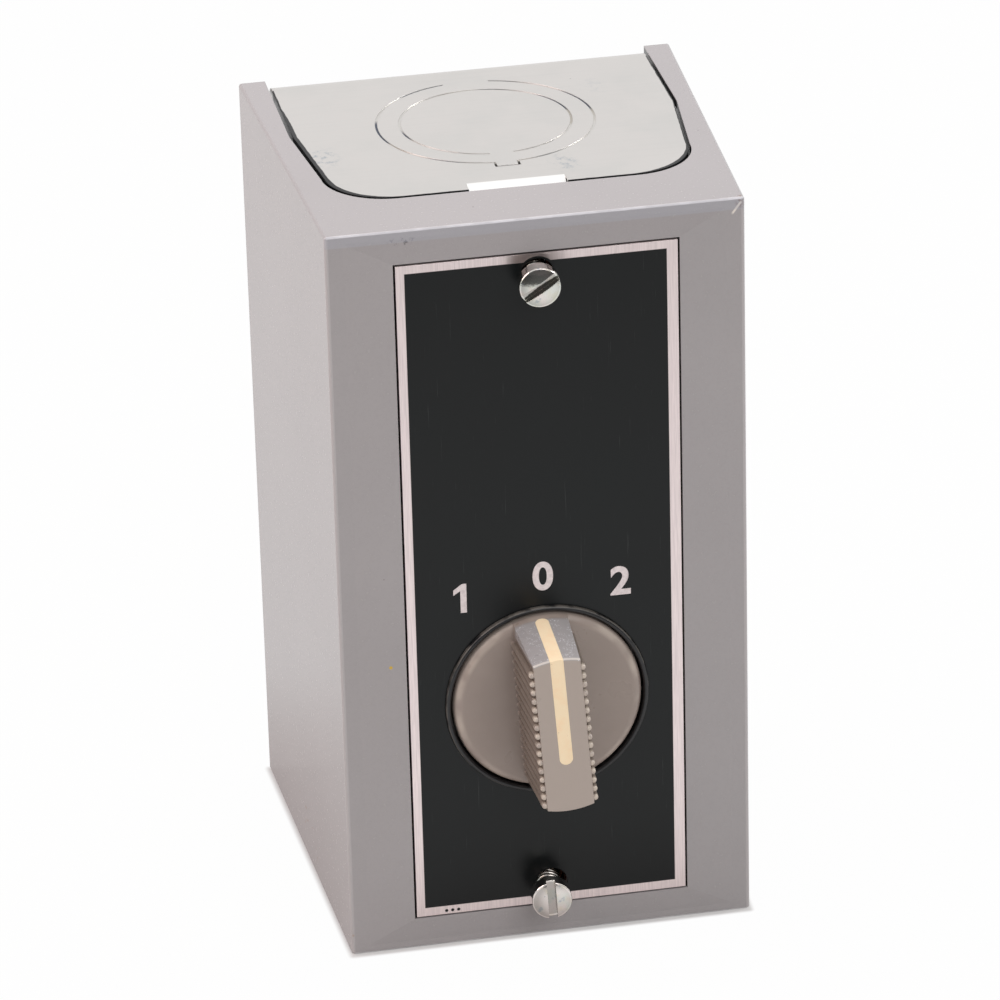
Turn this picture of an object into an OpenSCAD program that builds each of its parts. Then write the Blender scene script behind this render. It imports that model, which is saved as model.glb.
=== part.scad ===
// Wall control station with a three-position selector switch.
// +Z is up, the front faces -Y, and the origin is the centre of the back plane that lies on the wall.

/* [Cover] */
// How far each side has splayed out at the open back
cover_splay = 2.25; // [0:0.05:3]
// Height
cover_h = 101.7; // [100:0.1:104]
// Depth from the wall to the front rim
cover_d = 53.7; // [52:0.1:60]
// Sheet thickness
cover_sheet = 1.2; // [0.9:0.1:1.4]
// Radius of the outer edges
cover_edge_r = 0.4; // [0.3:0.05:0.6]
// Rise of the front frame from its rim to the opening
hip_rise = 0.3; // [0.2:0.05:0.8]
// Width of the rim's level band at the sides
rim_side = 2.4; // [1.6:0.1:3]
// Width of the rim's level band at the top and bottom
rim_end = 1.2; // [0.8:0.1:1.6]
// Width of the front frame beside the opening
frame_side = 8.45; // [7:0.05:10]
// Width of the front frame above and below the opening
frame_end = 4.45; // [4:0.05:5]
// Width of the recessed ledge at its sides
ledge_side = 3.2; // [2:0.1:4]
// Width of the recessed ledge at its ends
ledge_end = 7.9; // [7.4:0.1:8.6]
// Distance of the cover's screws from its ends
screw_inset = 7.55; // [7.2:0.05:7.8]
// Gap between the cover's cut-out and the bracket's flange
cut_gap = 0.45; // [0.3:0.05:0.8]

/* [Base bracket] */
// Gap between the bracket and the cover's sides at the front
base_side_gap = 0.45; // [0.2:0.05:1]
// Sheet thickness
base_sheet = 1.5; // [1.2:0.1:1.7]
// Outer radius of the bends at the back
base_bend_r = 3.2; // [2.6:0.1:4]
// Distance of the flanges' ends behind the front rim
flange_setback = 10.7; // [9:0.1:13]
// Straight part of the flange's sides, from the wall
flange_straight = 20; // [16:0.1:24]
// How far each side draws in by the front corners
flange_draw = 1.6; // [1:0.1:2.4]
// Radius of the flange's front corners
flange_corner_r = 8; // [6:0.1:9.5]
// Width of the joggled tab
tab_w = 12.7; // [11:0.1:14]
// Length of the joggle's slope behind the flange's front edge
joggle_len = 1.8; // [1.4:0.1:2.6]
// Gap between the tab and the cover's top wall
tab_gap = 0.15; // [0.1:0.05:0.3]
// Distance of the tapped lug behind the front rim
lug_back = 4.3; // [4.1:0.1:5]
// Reach of the lug past the screw's axis
lug_reach = 5; // [4:0.1:6]
// Diameter of the small knockout
knockout_small_d = 22.2; // [21:0.1:23]
// Diameter of the large knockout
knockout_large_d = 28.2; // [27:0.1:29]
// Distance of the knockouts' centre behind the flange's middle
knockout_shift = 0.6; // [0:0.1:1.5]
// Width of the sheared line round a knockout
shear_w = 0.3; // [0.2:0.05:0.4]
// Depth of the sheared line
shear_depth = 0.8; // [0.5:0.05:1]
// Width of the pry notch and of the small knockout's tie
pry_w = 3; // [2.4:0.1:4]
// Length of the pry notch outside the large knockout
pry_len = 1.2; // [0.8:0.1:1.6]
// Width of the large knockout's tie at the back
tie_w = 6; // [5:0.1:8]
// Diameter of the mounting holes
mount_hole_d = 5.2; // [4.4:0.1:6]
// Distance of the mounting holes from the bracket's ends
mount_inset = 20.85; // [15:0.05:30]
// Diameter of the ground screw
ground_d = 3.8; // [3.4:0.1:4.2]
// Distance of the ground screw from the bracket's side
ground_inset = 10; // [7:0.5:14]
// Distance of the ground screw below the bracket's top
ground_drop = 34.85; // [30:0.05:40]
// Depth of the burred collars round the tapped holes
burr_len = 1.2; // [0.8:0.1:1.6]
// Wall of the burred collars
burr_wall = 1.1; // [0.8:0.1:1.4]

/* [Nameplate and yoke] */
// Gap between the nameplate's sides and the opening
plate_side_gap = 0.275; // [0.15:0.025:0.4]
// Gap between the nameplate's ends and the opening
plate_end_gap = 0.25; // [0.15:0.025:0.4]
// Thickness of the nameplate
plate_t = 0.8; // [0.6:0.05:1]
// How far the nameplate's face stands in front of the rim
plate_proud = 0.35; // [0.2:0.05:0.6]
// How far the mounting yoke's edges lie inside the nameplate's
yoke_inset = 0.4; // [0.1:0.05:0.8]
// Thickness of the mounting yoke
yoke_t = 1.2; // [1:0.05:1.4]

/* [Cover screws] */
// Diameter of the screws
screw_d = 3.5; // [3.2:0.05:3.6]
// Diameter of their holes in the nameplate, yoke and ledge
screw_hole_d = 4.3; // [4.1:0.05:4.6]
// Diameter of the head
head_d = 5.4; // [5.1:0.05:5.8]
// Height of the head's side
head_h = 1.8; // [1.5:0.05:2.2]
// Rise of the head's crown
crown_h = 0.5; // [0.3:0.05:0.7]
// Width of the slot
slot_w = 1.1; // [0.9:0.05:1.3]
// Depth of the slot below the side's top
slot_depth = 0.8; // [0.5:0.05:1]
// Length under the head
screw_len = 12.7; // [11.5:0.1:14]
// How far the upper screw's crown stands out of the nameplate, backed out as it is
top_standout = 4.4; // [3.8:0.1:5.2]
// How far the lower screw's crown stands out of the nameplate
bottom_standout = 4.9; // [3.8:0.1:5.2]
// Turn of the upper slot
top_slot_turn = 39; // [0:1:180]
// Turn of the lower slot
bottom_slot_turn = 93; // [0:1:180]
// Diameter of the fibre retainers
retainer_d = 7.6; // [7:0.1:8]
// Thickness of the fibre retainers
retainer_t = 0.5; // [0.3:0.05:0.7]

/* [Selector knob] */
// Diameter of the knob's disc
disc_d = 24.8; // [24:0.1:25]
// How far the disc's face stands out of the front rim plane
disc_out = 1.4; // [1.2:0.1:2]
// Radius of the disc's rounded edge
disc_edge_r = 1.3; // [0.8:0.1:1.4]
// Turn of the lever to the left at rest
lever_lean = 4; // [0:0.5:6]
// Width of the lever's face between its ribs
lever_w = 6.1; // [5.4:0.1:7]
// Draft of the lever's sides
lever_draft = 2.8; // [1:0.1:4]
// How far the lever's face stands out of the front rim plane
lever_out = 11.2; // [9:0.1:13]
// How far the lever's round ends lean in from its foot to its face
end_lean = 1.5; // [0.8:0.1:2]
// Distance of the first rib below the lever's upper end
rib_drop = 1.7; // [1.2:0.1:2.4]
// Least distance from the lowest rib to the disc's edge
rib_margin = 2.4; // [1.6:0.1:3]
// Spacing of the ribs
rib_pitch = 1.26; // [1.1:0.01:1.3]
// Diameter of a rib
rib_d = 0.85; // [0.7:0.05:0.95]
// How far a rib's middle stands out of the lever's side
rib_stand = 0.2; // [0.1:0.05:0.3]
// Width of the pointer stripe
stripe_w = 1.75; // [1.4:0.05:2.2]
// Thickness of the pointer stripe
stripe_t = 0.4; // [0.3:0.05:0.6]
// Distance of the stripe's end on the lever's upper end from the front rim plane
stripe_low = 1.6; // [1.5:0.1:3]
// Distance below the axis to the stripe's end on the face
stripe_bottom = 4.2; // [3:0.1:7]
// Diameter of the stem
stem_d = 10; // [9:0.1:11]
// How far the lever's foot stays inside the disc's edge
lever_inset = 0.05; // [0.05:0.05:0.3]
// Length of the flatted drive at the stem's end
drive_len = 4.6; // [4:0.1:5]
// Distance across the drive's flats
drive_flats = 6; // [5:0.1:6.6]
// Gap between the knob's disc and the bezel ring
disc_gap = 0.25; // [0.15:0.05:0.4]
// Wall of the bezel ring
bezel_wall = 0.65; // [0.5:0.05:0.8]
// How far the bezel ring stands out of the front rim plane
bezel_out = 1; // [0.8:0.1:1.3]
// Width of the bezel's flange behind the yoke
bezel_flange = 0.65; // [0.45:0.05:0.8]
// Thickness of the bezel's flange
bezel_flange_t = 1; // [0.7:0.1:1.2]

/* [Operator] */
// Gap between the bezel's flange and the ledge's window
window_gap = 1.05; // [0.3:0.05:2]
// Gap between the moulded block's sides and the window
block_gap = 0.4; // [0.2:0.05:0.8]
// Gap between the moulded block and the lower lug
lug_clear = 1.7; // [0.5:0.1:3]
// Length of the bearing in the housing
bearing_len = 5; // [4.4:0.1:5.4]
// Radial clearance of turning and sliding fits
fit_gap = 0.05; // [0.03:0.01:0.08]
// Gap between parts that move past each other
play = 0.3; // [0.25:0.05:0.4]
// Gap between fixed parts that fit together
seat_gap = 0.05; // [0.03:0.01:0.1]
// Diameter of the cam's detent disc
detent_disc_d = 22.6; // [22:0.1:22.8]
// Thickness of the cam's detent disc
detent_disc_t = 2.6; // [2.2:0.1:2.8]
// Diameter of the cam's inclined barrel
cam_barrel_d = 18; // [17:0.1:18.6]
// Height of the barrel at its lowest point
cam_heel = 0.3; // [0.2:0.05:0.6]
// Diameter of the cam's hub
hub_d = 7; // [6.4:0.1:7.4]
// Thickness of the hub under the cam screw's head
hub_web = 0.9; // [0.7:0.05:1.2]
// Turn of the knob from the middle position to either side
throw_angle = 45; // [40:1:50]
// Travel of a plunger from the middle position to either side
stroke = 1.5; // [1.2:0.05:1.6]
// Radial reach of the cam's stop lug
stop_reach = 1.7; // [1.3:0.1:1.8]
// Half angle of the stop lug
stop_half_angle = 10; // [8:1:14]
// Play of the stop lug at the ends of its travel
stop_play_angle = 1.5; // [1:0.1:3]
// Radius of the detent bump
bump_r = 1.3; // [1.1:0.1:1.5]
// Depth of the detent notch in the disc's rim
notch_depth = 0.8; // [0.6:0.1:1]
// Thickness of the leaf spring
leaf_t = 0.4; // [0.3:0.05:0.5]
// Length of the leaf spring
leaf_len = 19; // [17:0.5:20]
// Width of the leaf spring
leaf_w = 2; // [1.6:0.1:2.2]
// Half length of the relief under the leaf spring
relief_half_len = 6; // [5:0.1:7]
// Diameter of the cam screw
cam_screw_d = 2.8; // [2.4:0.1:3]
// Length of the cam screw in the stem
cam_screw_len = 7; // [6:0.1:8]
// Diameter of the cam screw's head
cam_screw_head_d = 5.2; // [4.8:0.1:5.6]
// Height of the cam screw's head
cam_screw_head_h = 1.6; // [1.4:0.1:1.8]

/* [Contact block] */
// Distance of each circuit from the knob's axis
circuit_x = 7; // [6.8:0.1:7.1]
// Diameter of a plunger's stem
plunger_d = 3.2; // [2.8:0.1:3.4]
// Length of a plunger's guide in the block
guide_len = 2.2; // [2:0.1:2.4]
// Width of a plunger's carrier
carrier_w = 5; // [4.6:0.1:5.4]
// Height of a plunger's carrier
carrier_h = 6; // [5:0.1:7]
// Thickness of a plunger's carrier in front of its bridge
carrier_nose = 1.4; // [1:0.1:1.8]
// Thickness of a plunger's carrier behind its bridge
carrier_heel = 1; // [0.8:0.05:1.1]
// Width of a contact bridge
bridge_w = 4; // [3.4:0.1:4.2]
// Thickness of the contact strips
strip_t = 0.9; // [0.8:0.05:1]
// Distance of the contact points from the terminals
contact_spacing = 7.4; // [7:0.1:8.4]
// Diameter of a contact button
button_d = 2.8; // [2.4:0.1:3]
// Height of a contact button
button_h = 0.6; // [0.5:0.05:0.7]
// Edge of a contact strip past its button
button_edge = 0.3; // [0.2:0.05:0.5]
// Gap left between the buttons of a closed circuit
closed_gap = 0.15; // [0.1:0.05:0.2]
// Width of a circuit's chamber
chamber_w = 6.4; // [6:0.1:6.6]
// Length of a circuit's chamber past the contact points
chamber_past = 3.6; // [3:0.1:4]
// Depth of the block's back cover
back_depth = 9; // [8.6:0.1:10]
// Length of the return spring's well
well_len = 7.4; // [7:0.1:8]
// Outer diameter of a return spring
spring_d = 4.4; // [4:0.1:4.6]
// Wire diameter of a return spring
spring_wire_d = 0.5; // [0.4:0.05:0.6]
// Turns of a return spring
spring_turns = 6; // [5:1:8]
// Diameter of the post that centres a return spring
post_d = 2.6; // [2.2:0.1:2.8]
// Length of the post
post_len = 2; // [1.6:0.1:2.4]
// Distance of the terminal screws from the block's ends
terminal_inset = 4.1; // [3.8:0.1:4.6]
// Diameter of a terminal screw
terminal_screw_d = 3; // [2.6:0.1:3.4]
// Diameter of a terminal screw's head
terminal_head_d = 5.6; // [5.2:0.1:6]
// Height of a terminal screw's head
terminal_head_h = 1.8; // [1.5:0.1:2]
// Length of a terminal screw in the block
terminal_screw_len = 5; // [4:0.1:5.6]
// Width of a wire clamp
clamp_w = 6.6; // [6.2:0.1:7]
// Thickness of a wire clamp
clamp_t = 0.8; // [0.6:0.05:0.9]
// Height of the wire clamp's sides along the contact strip
clamp_side = 0.6; // [0.4:0.05:0.7]
// Diameter of the long stack screws
stack_screw_d = 2.8; // [2.6:0.1:2.9]
// Gap between the stack screws and the bezel's flange
stack_gap = 1.85; // [1.5:0.05:2.2]
// Distance of the stack screws from the block's ends
stack_inset = 3.3; // [3:0.1:3.8]
// Diameter of a stack screw's head
stack_head_d = 4.8; // [4.4:0.1:5]
// Height of a stack screw's head
stack_head_h = 1.6; // [1.4:0.1:1.8]

/* [Hidden] */
$fn = 64;
// Overrun of every cut past the face it opens
over = 0.5;
// Thickness of the discs that end the cover's rounded form
thin = 0.01;
// Share of the sheet that an inner corner's radius keeps at least
least_fillet_share = 0.35;
// Share of the hip's rise by which its solid starts below the rim
hip_root_share = 0.125;
// Shares of an inner screw head's size that its slot takes
slot_share = 0.2;
slot_depth_share = 0.55;
// Shares of the ground screw's diameter that its head takes
ground_head_share = 2.2;
ground_head_h_share = 0.7;
hex_sides = 6;
// Rings per turn and sides of a spring's wire
coil_steps = 12;
wire_sides = 6;

// Widths, from the knob's disc out to the cover and the bracket
disc_r = disc_d / 2;
bezel_bore_d = disc_d + 2 * disc_gap;
bezel_d = bezel_bore_d + 2 * bezel_wall;
bezel_flange_d = bezel_d + 2 * bezel_flange;
window_w = bezel_flange_d + 2 * window_gap;
block_w = window_w - 2 * block_gap;
opening_w = window_w + 2 * ledge_side;
plate_w = opening_w - 2 * plate_side_gap;
yoke_w = plate_w - 2 * yoke_inset;
cover_front_w = opening_w + 2 * frame_side;
cover_back_w = cover_front_w + 2 * cover_splay;
base_w = cover_front_w - 2 * (cover_sheet + base_side_gap);

// Heights, from the cover in to the knob's axis
opening_h = cover_h - 2 * frame_end;
window_h = opening_h - 2 * ledge_end;
plate_h = opening_h - 2 * plate_end_gap;
yoke_h = plate_h - 2 * yoke_inset;
screw_z = cover_h / 2 - screw_inset;
lug_low = screw_z - lug_reach;
stack_z = bezel_flange_d / 2 + stack_gap + stack_screw_d / 2;
block_h = 2 * (stack_z + stack_inset);
knob_up = block_h / 2 + lug_clear - lug_low;
terminal_z = block_h / 2 - terminal_inset;
contact_z = terminal_z - contact_spacing;
chamber_half_h = contact_z + chamber_past;

// Places in the bracket
flange_len = cover_d - flange_setback;
knockout_back = flange_len / 2 - knockout_shift;
mount_up = cover_h / 2 - mount_inset;
ground_across = base_w / 2 - ground_inset;
ground_up = cover_h / 2 - ground_drop;

// Places on the lever
foot_r = disc_r - lever_inset;
end_slope = end_lean / lever_out;
bead_out = lever_out - rib_d / 2;
rib_top = foot_r - end_lean - rib_drop;
rib_count = 1 + floor((rib_top + disc_r - rib_margin) / rib_pitch);

// Levels out of the front rim plane, negative behind it
plate_back = plate_proud - plate_t;
yoke_back = plate_back - yoke_t;
ledge_back = yoke_back - cover_sheet;
lug_front = -lug_back;
disc_back = yoke_back + play;
housing_front = yoke_back;
bearing_back = housing_front - bearing_len;
cam_front = bearing_back - play;
detent_disc_back = cam_front - detent_disc_t;

// Slope of the cam's face at which a plunger makes its stroke in one throw
cam_slope = atan(stroke / (circuit_x * sin(throw_angle)));
cam_lean = cam_barrel_d / 2 * tan(cam_slope);
cam_mid = detent_disc_back - cam_heel - cam_lean;
cam_end = cam_mid - cam_lean;
stem_end = cam_front - drive_len;
hub_back = stem_end - hub_web;
housing_back = cam_end - play;

dome_centre = cam_mid - (plunger_d / 2 + play) / cos(cam_slope);
guide_back = housing_back - guide_len;
carrier_front = guide_back - play - stroke;
bridge_front = carrier_front - carrier_nose;
bridge_back = bridge_front - strip_t;
carrier_back = bridge_back - carrier_heel;
moving_button = bridge_back - button_h;
fixed_button = moving_button - stroke - closed_gap;
seam = fixed_button - button_h;
strip_back = seam - strip_t;
clamp_back = strip_back - clamp_t;
block_back = seam - back_depth;
well_floor = seam - well_len;

// Sizes across
inside_top = cover_h / 2 - cover_sheet;
cover_inner_r = max(cover_edge_r - cover_sheet, cover_sheet * least_fillet_share);
tab_top = inside_top - tab_gap;
bezel_hole_d = bezel_d + 2 * seat_gap;
stem_bore_d = stem_d + 2 * fit_gap;
chamber_d = detent_disc_d + 4 * play;
stop_r = detent_disc_d / 2 + stop_reach;
stop_slot_half_angle = throw_angle + stop_half_angle + stop_play_angle;
bump_centre = detent_disc_d / 2 - notch_depth + play + bump_r;
leaf_floor = bump_centre + leaf_t / 2;
leaf_middle = (cam_front + detent_disc_back) / 2;
well_d = spring_d + 2 * play;
strip_inner_z = contact_z - button_d / 2 - button_edge;
strip_outer_z = block_h / 2 - play;
pocket_w = clamp_w + 2 * play;
pocket_inner_z = terminal_z - terminal_head_d / 2 - play;

// Places its children on the front rim plane: x to the right, y up, z out to the viewer
module at_front(across = 0, up = 0)
    translate([across, -cover_d, up]) rotate([90, 0, 0]) children();

// Places its children on the knob's axis, in the same way
module at_knob(across = 0, up = 0)
    at_front(across, knob_up + up) children();

// Block between two levels, centred on the axis
module slab(w, h, low, high)
    translate([-w / 2, -h / 2, low]) cube([w, h, high - low]);

// Round bar between two levels
module rod(d, low, high)
    translate([0, 0, low]) cylinder(d = d, h = high - low);

// Flat wedge of a disc, centred on the way up
module wedge(r, half_angle)
    intersection() {
        circle(r);
        polygon([[0, 0], [2 * r * sin(half_angle), 2 * r * cos(half_angle)], [0, 2 * r],
            [-2 * r * sin(half_angle), 2 * r * cos(half_angle)]]);
    }

// The same thing at the top and at the bottom
module both_ends()
    for (side = [0, 1]) mirror([0, 0, side]) children();

// Outline drawn as (depth, height), pulled along the width
module along_width(w)
    rotate([90, 0, 90]) translate([0, 0, -w / 2]) linear_extrude(w) children();

// Slotted screw with its head's seat at level 0 and its shank going in
module slotted_screw(d, len, head, head_high)
    difference() {
        union() {
            rod(d, -len, head_high / 2);
            rod(head, 0, head_high);
        }
        slab(head + over, head * slot_share, head_high * (1 - slot_depth_share), head_high + over);
    }

// Rounded form of the cover, a given thickness inside its faces
module cover_form(inset, r, front, back)
    hull()
        for (x = [-1, 1], y = [-1, 1]) {
            translate([x * (cover_front_w / 2 - inset - r), y * (cover_h / 2 - inset - r), front - r])
                sphere(r, $fn = 32);
            translate([x * (cover_back_w / 2 - inset - r), y * (cover_h / 2 - inset - r), back])
                cylinder(r = r, h = thin, $fn = 32);
        }

// Plan of the bracket's flange, grown by a gap
module flange_plan(grow) {
    w = base_w / 2 + grow;
    corner_x = base_w / 2 - flange_draw - flange_corner_r;
    corner_y = flange_corner_r - flange_len;
    polygon([[-w, over], [w, over], [w, -flange_straight], [w - flange_draw, corner_y],
        [corner_x, -flange_len - grow], [-corner_x, -flange_len - grow],
        [flange_draw - w, corner_y], [-w, -flange_straight]]);
    for (side = [-1, 1])
        translate([side * corner_x, corner_y]) circle(flange_corner_r + grow);
}

// Four corners of a rectangle at one level
function rectangle(w, h, level) =
    [for (corner = [[-1, -1], [1, -1], [1, 1], [-1, 1]]) [corner.x * w / 2, corner.y * h / 2, level]];

// Front frame that rises from the rim to the opening, with mitred corners
module hip_frame() {
    root = hip_rise * hip_root_share;
    grow = (hip_rise + root) / hip_rise;
    root_w = opening_w + (cover_front_w - opening_w - 2 * rim_side) * grow;
    root_h = opening_h + (cover_h - opening_h - 2 * rim_end) * grow;
    polyhedron(concat(rectangle(root_w, root_h, -root), rectangle(opening_w, opening_h, hip_rise)),
        [[0, 1, 2, 3], [4, 5, 1, 0], [5, 6, 2, 1], [6, 7, 3, 2], [7, 4, 0, 3], [7, 6, 5, 4]]);
}

module cover()
    color("silver") difference() {
        at_front() difference() {
            union() {
                difference() {
                    cover_form(0, cover_edge_r, 0, -cover_d);
                    cover_form(cover_sheet, cover_inner_r, -cover_sheet, -cover_d - over);
                }
                hip_frame();
                slab(opening_w + 2 * cover_sheet, opening_h + 2 * cover_sheet, ledge_back,
                    -cover_sheet / 2);
            }
            slab(opening_w, opening_h, yoke_back, hip_rise + over);
            slab(window_w, window_h, ledge_back - over, 0);
            for (side = [-1, 1])
                translate([0, side * screw_z, 0]) rod(screw_hole_d, ledge_back - over, 0);
        }
        both_ends()
            translate([0, 0, inside_top - over])
                linear_extrude(cover_sheet + 2 * over) flange_plan(cut_gap);
    }

// Section of the bracket's bent sheet as (depth, height), its back on the wall
module channel_section(inset) {
    r = base_bend_r - inset;
    half = cover_h / 2 - inset;
    depth = flange_len + over;
    for (side = [-1, 1])
        translate([-base_bend_r, side * (half - r)]) circle(r);
    translate([-depth - inset, -half]) square([depth + inset - base_bend_r, 2 * half]);
    translate([-base_bend_r - over, r - half]) square([base_bend_r + over - inset, 2 * (half - r)]);
}

// Side view of the tab that goes down under the cover and turns in to the tapped lug
module tab_section() {
    back = joggle_len - flange_len;
    top = cover_h / 2;
    joggle = -flange_len - cut_gap;
    front = -cover_d - lug_front;
    polygon([[back + base_sheet, top], [back, top], [joggle, tab_top], [front, tab_top],
        [front, lug_low], [front + base_sheet, lug_low], [front + base_sheet, tab_top - base_sheet],
        [joggle, tab_top - base_sheet], [back, top - base_sheet],
        [back + base_sheet, top - base_sheet]]);
}

// Sheared lines round the two knockouts, with the ties left uncut
module knockout_lines()
    translate([0, -knockout_back, 0]) {
        difference() {
            shear_ring(knockout_small_d);
            translate([0, -knockout_small_d / 2, 0])
                slab(pry_w, pry_w, -over, shear_depth + 2 * over);
        }
        difference() {
            shear_ring(knockout_large_d);
            translate([0, knockout_large_d / 2, 0])
                slab(tie_w, tie_w, -over, shear_depth + 2 * over);
            translate([0, -knockout_large_d / 2, 0])
                slab(pry_w - shear_w, pry_w, -over, shear_depth + 2 * over);
        }
        translate([0, -(knockout_large_d + pry_len) / 2, 0]) difference() {
            slab(pry_w + shear_w, pry_len + shear_w, 0, shear_depth + over);
            translate([0, shear_w, 0])
                slab(pry_w - shear_w, pry_len + shear_w, -over, shear_depth + 2 * over);
        }
    }

module shear_ring(d)
    difference() {
        rod(d + shear_w, 0, shear_depth + over);
        rod(d - shear_w, -over, shear_depth + 2 * over);
    }

module base_bracket()
    color("gainsboro") difference() {
        union() {
            difference() {
                intersection() {
                    along_width(base_w) difference() {
                        channel_section(0);
                        channel_section(base_sheet);
                    }
                    translate([0, 0, -cover_h]) linear_extrude(2 * cover_h) flange_plan(0);
                }
                both_ends()
                    translate([0, joggle_len - flange_len - flange_len / 2, cover_h / 2])
                        slab(tab_w, flange_len, -base_bend_r, over);
            }
            both_ends() {
                along_width(tab_w) tab_section();
                at_front(up = screw_z)
                    rod(screw_d + 2 * burr_wall, lug_front - base_sheet - burr_len,
                        lug_front - base_sheet / 2);
            }
            at_wall(ground_across, ground_up)
                rod(ground_d + 2 * burr_wall, base_sheet / 2, base_sheet + burr_len);
        }
        both_ends() {
            at_front(up = screw_z)
                rod(screw_d + 2 * seat_gap, lug_front - base_sheet - burr_len - over,
                    lug_front + over);
            translate([0, 0, cover_h / 2 - shear_depth]) knockout_lines();
            at_wall(0, mount_up) rod(mount_hole_d, -over, base_sheet + over);
        }
        at_wall(ground_across, ground_up)
            rod(ground_d + 2 * seat_gap, -over, base_sheet + burr_len + over);
    }

// Places its children on the wall plane: x to the right, y up, z out of the wall
module at_wall(across, up)
    translate([across, 0, up]) rotate([90, 0, 0]) children();

module ground_screw()
    color("green") at_wall(ground_across, ground_up) {
        seat = base_sheet + burr_len;
        rod(ground_d, seat_gap, seat + ground_d * ground_head_h_share / 2);
        difference() {
            translate([0, 0, seat])
                cylinder(d = ground_d * ground_head_share, h = ground_d * ground_head_h_share,
                    $fn = hex_sides);
            translate([0, 0, seat + ground_d * ground_head_h_share * (1 - slot_depth_share)])
                slab(ground_d * ground_head_share + over, ground_d * slot_share, 0, ground_d);
        }
    }

// Holes that the nameplate and the yoke share
module front_holes(low, high) {
    at_knob() rod(bezel_hole_d, low, high);
    for (side = [-1, 1]) at_front(up = side * screw_z) rod(screw_hole_d, low, high);
}

module nameplate()
    color("dimgray") difference() {
        at_front() slab(plate_w, plate_h, plate_back, plate_proud);
        front_holes(plate_back - over, plate_proud + over);
    }

module mounting_yoke()
    color("lightgray") difference() {
        at_front() slab(yoke_w, yoke_h, yoke_back, plate_back);
        front_holes(yoke_back - over, plate_back + over);
        for (side = [-1, 1])
            at_knob(up = side * stack_z)
                rod(stack_screw_d + 2 * seat_gap, yoke_back - over, plate_back + over);
    }

// Fillister-head screw with the top of its crown at level 0
module cover_screw(slot_turn) {
    crown_r = (pow(head_d / 2, 2) + pow(crown_h, 2)) / (2 * crown_h);
    seat = -crown_h - head_h;
    rod(screw_d, seat - screw_len, seat + head_h / 4);
    difference() {
        intersection() {
            rod(head_d, seat, over);
            translate([0, 0, -crown_r]) sphere(crown_r);
        }
        rotate([0, 0, slot_turn]) slab(head_d + over, slot_w, -crown_h - slot_depth, over);
    }
}

module cover_screws()
    color("whitesmoke") {
        at_front(up = screw_z)
            translate([0, 0, plate_proud + top_standout]) cover_screw(top_slot_turn);
        at_front(up = -screw_z)
            translate([0, 0, plate_proud + bottom_standout]) cover_screw(bottom_slot_turn);
    }

module screw_retainers()
    color("sienna")
        for (side = [-1, 1])
            at_front(up = side * screw_z) difference() {
                rod(retainer_d, ledge_back - retainer_t, ledge_back);
                rod(screw_d + 2 * seat_gap, ledge_back - retainer_t - over, ledge_back + over);
            }

module bezel_ring()
    color("black") at_knob() rotate_extrude() {
        flange_back = yoke_back - bezel_flange_t;
        translate([bezel_bore_d / 2, flange_back])
            square([bezel_wall, bezel_out - bezel_wall / 2 - flange_back]);
        translate([bezel_bore_d / 2, flange_back])
            square([bezel_wall + bezel_flange, bezel_flange_t]);
        translate([(bezel_bore_d + bezel_wall) / 2, bezel_out - bezel_wall / 2])
            circle(bezel_wall / 2);
    }

// Plan of the housing's hollow for the cam, its stop lug and the leaf spring
module chamber_plan() {
    relief_len = leaf_floor + notch_depth + play;
    circle(d = chamber_d);
    wedge(stop_r + play, stop_slot_half_angle);
    translate([-leaf_len / 2 - play, -leaf_floor - seat_gap])
        square([leaf_len + 2 * play, leaf_floor + seat_gap]);
    translate([-relief_half_len, -relief_len]) square([2 * relief_half_len, relief_len]);
}

module operator_housing()
    color("dimgray") at_knob() difference() {
        slab(block_w, block_h, housing_back, housing_front);
        rod(stem_bore_d, bearing_back - over, housing_front + over);
        difference() {
            rod(bezel_flange_d + 2 * seat_gap, housing_front - bezel_flange_t,
                housing_front + over);
            rod(bezel_bore_d - 2 * seat_gap, housing_front - bezel_flange_t - over,
                housing_front + 2 * over);
        }
        translate([0, 0, housing_back - over])
            linear_extrude(bearing_back - housing_back + over) chamber_plan();
        for (side = [-1, 1])
            translate([0, side * stack_z, 0])
                rod(stack_screw_d + 2 * seat_gap, housing_back - over, housing_front + over);
    }

module disc_profile() {
    round_x = disc_r - disc_edge_r;
    round_y = disc_out - disc_edge_r;
    translate([0, disc_back]) square([disc_r, round_y - disc_back]);
    translate([0, disc_back]) square([round_x, disc_out - disc_back]);
    translate([round_x, round_y]) circle(disc_edge_r);
}

// Half the lever's width at a level
function lever_half_w(level) = lever_w / 2 + (lever_out - level) * tan(lever_draft);

// Cone that rounds the lever's two ends, a given thickness inside them
module lever_cone(inset, low, high)
    translate([0, 0, low])
        cylinder(r1 = foot_r - inset - low * end_slope, r2 = foot_r - inset - high * end_slope,
            h = high - low);

// Outline drawn as (width, level), pulled from the axis to one side or to both
module along_lever(back)
    translate([0, disc_r + over, 0]) rotate([90, 0, 0]) linear_extrude(disc_r + over + back) children();

// Rib down the lever's side, with a round end near the face
module rib(side)
    translate([side * (lever_half_w(bead_out) + rib_stand), 0, bead_out])
        rotate([0, -side * lever_draft, 0]) {
            rod(rib_d, disc_out - disc_edge_r / 2 - bead_out, 0);
            sphere(d = rib_d);
        }

module lever() {
    top = lever_out + over;
    intersection() {
        lever_cone(0, 0, lever_out);
        along_lever(disc_r + over)
            polygon([[-lever_half_w(-over), -over], [lever_half_w(-over), -over],
                [lever_half_w(top), top], [-lever_half_w(top), top]]);
    }
    for (side = [-1, 1], i = [0:rib_count - 1])
        translate([0, rib_top - i * rib_pitch, 0]) rib(side);
}

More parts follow.
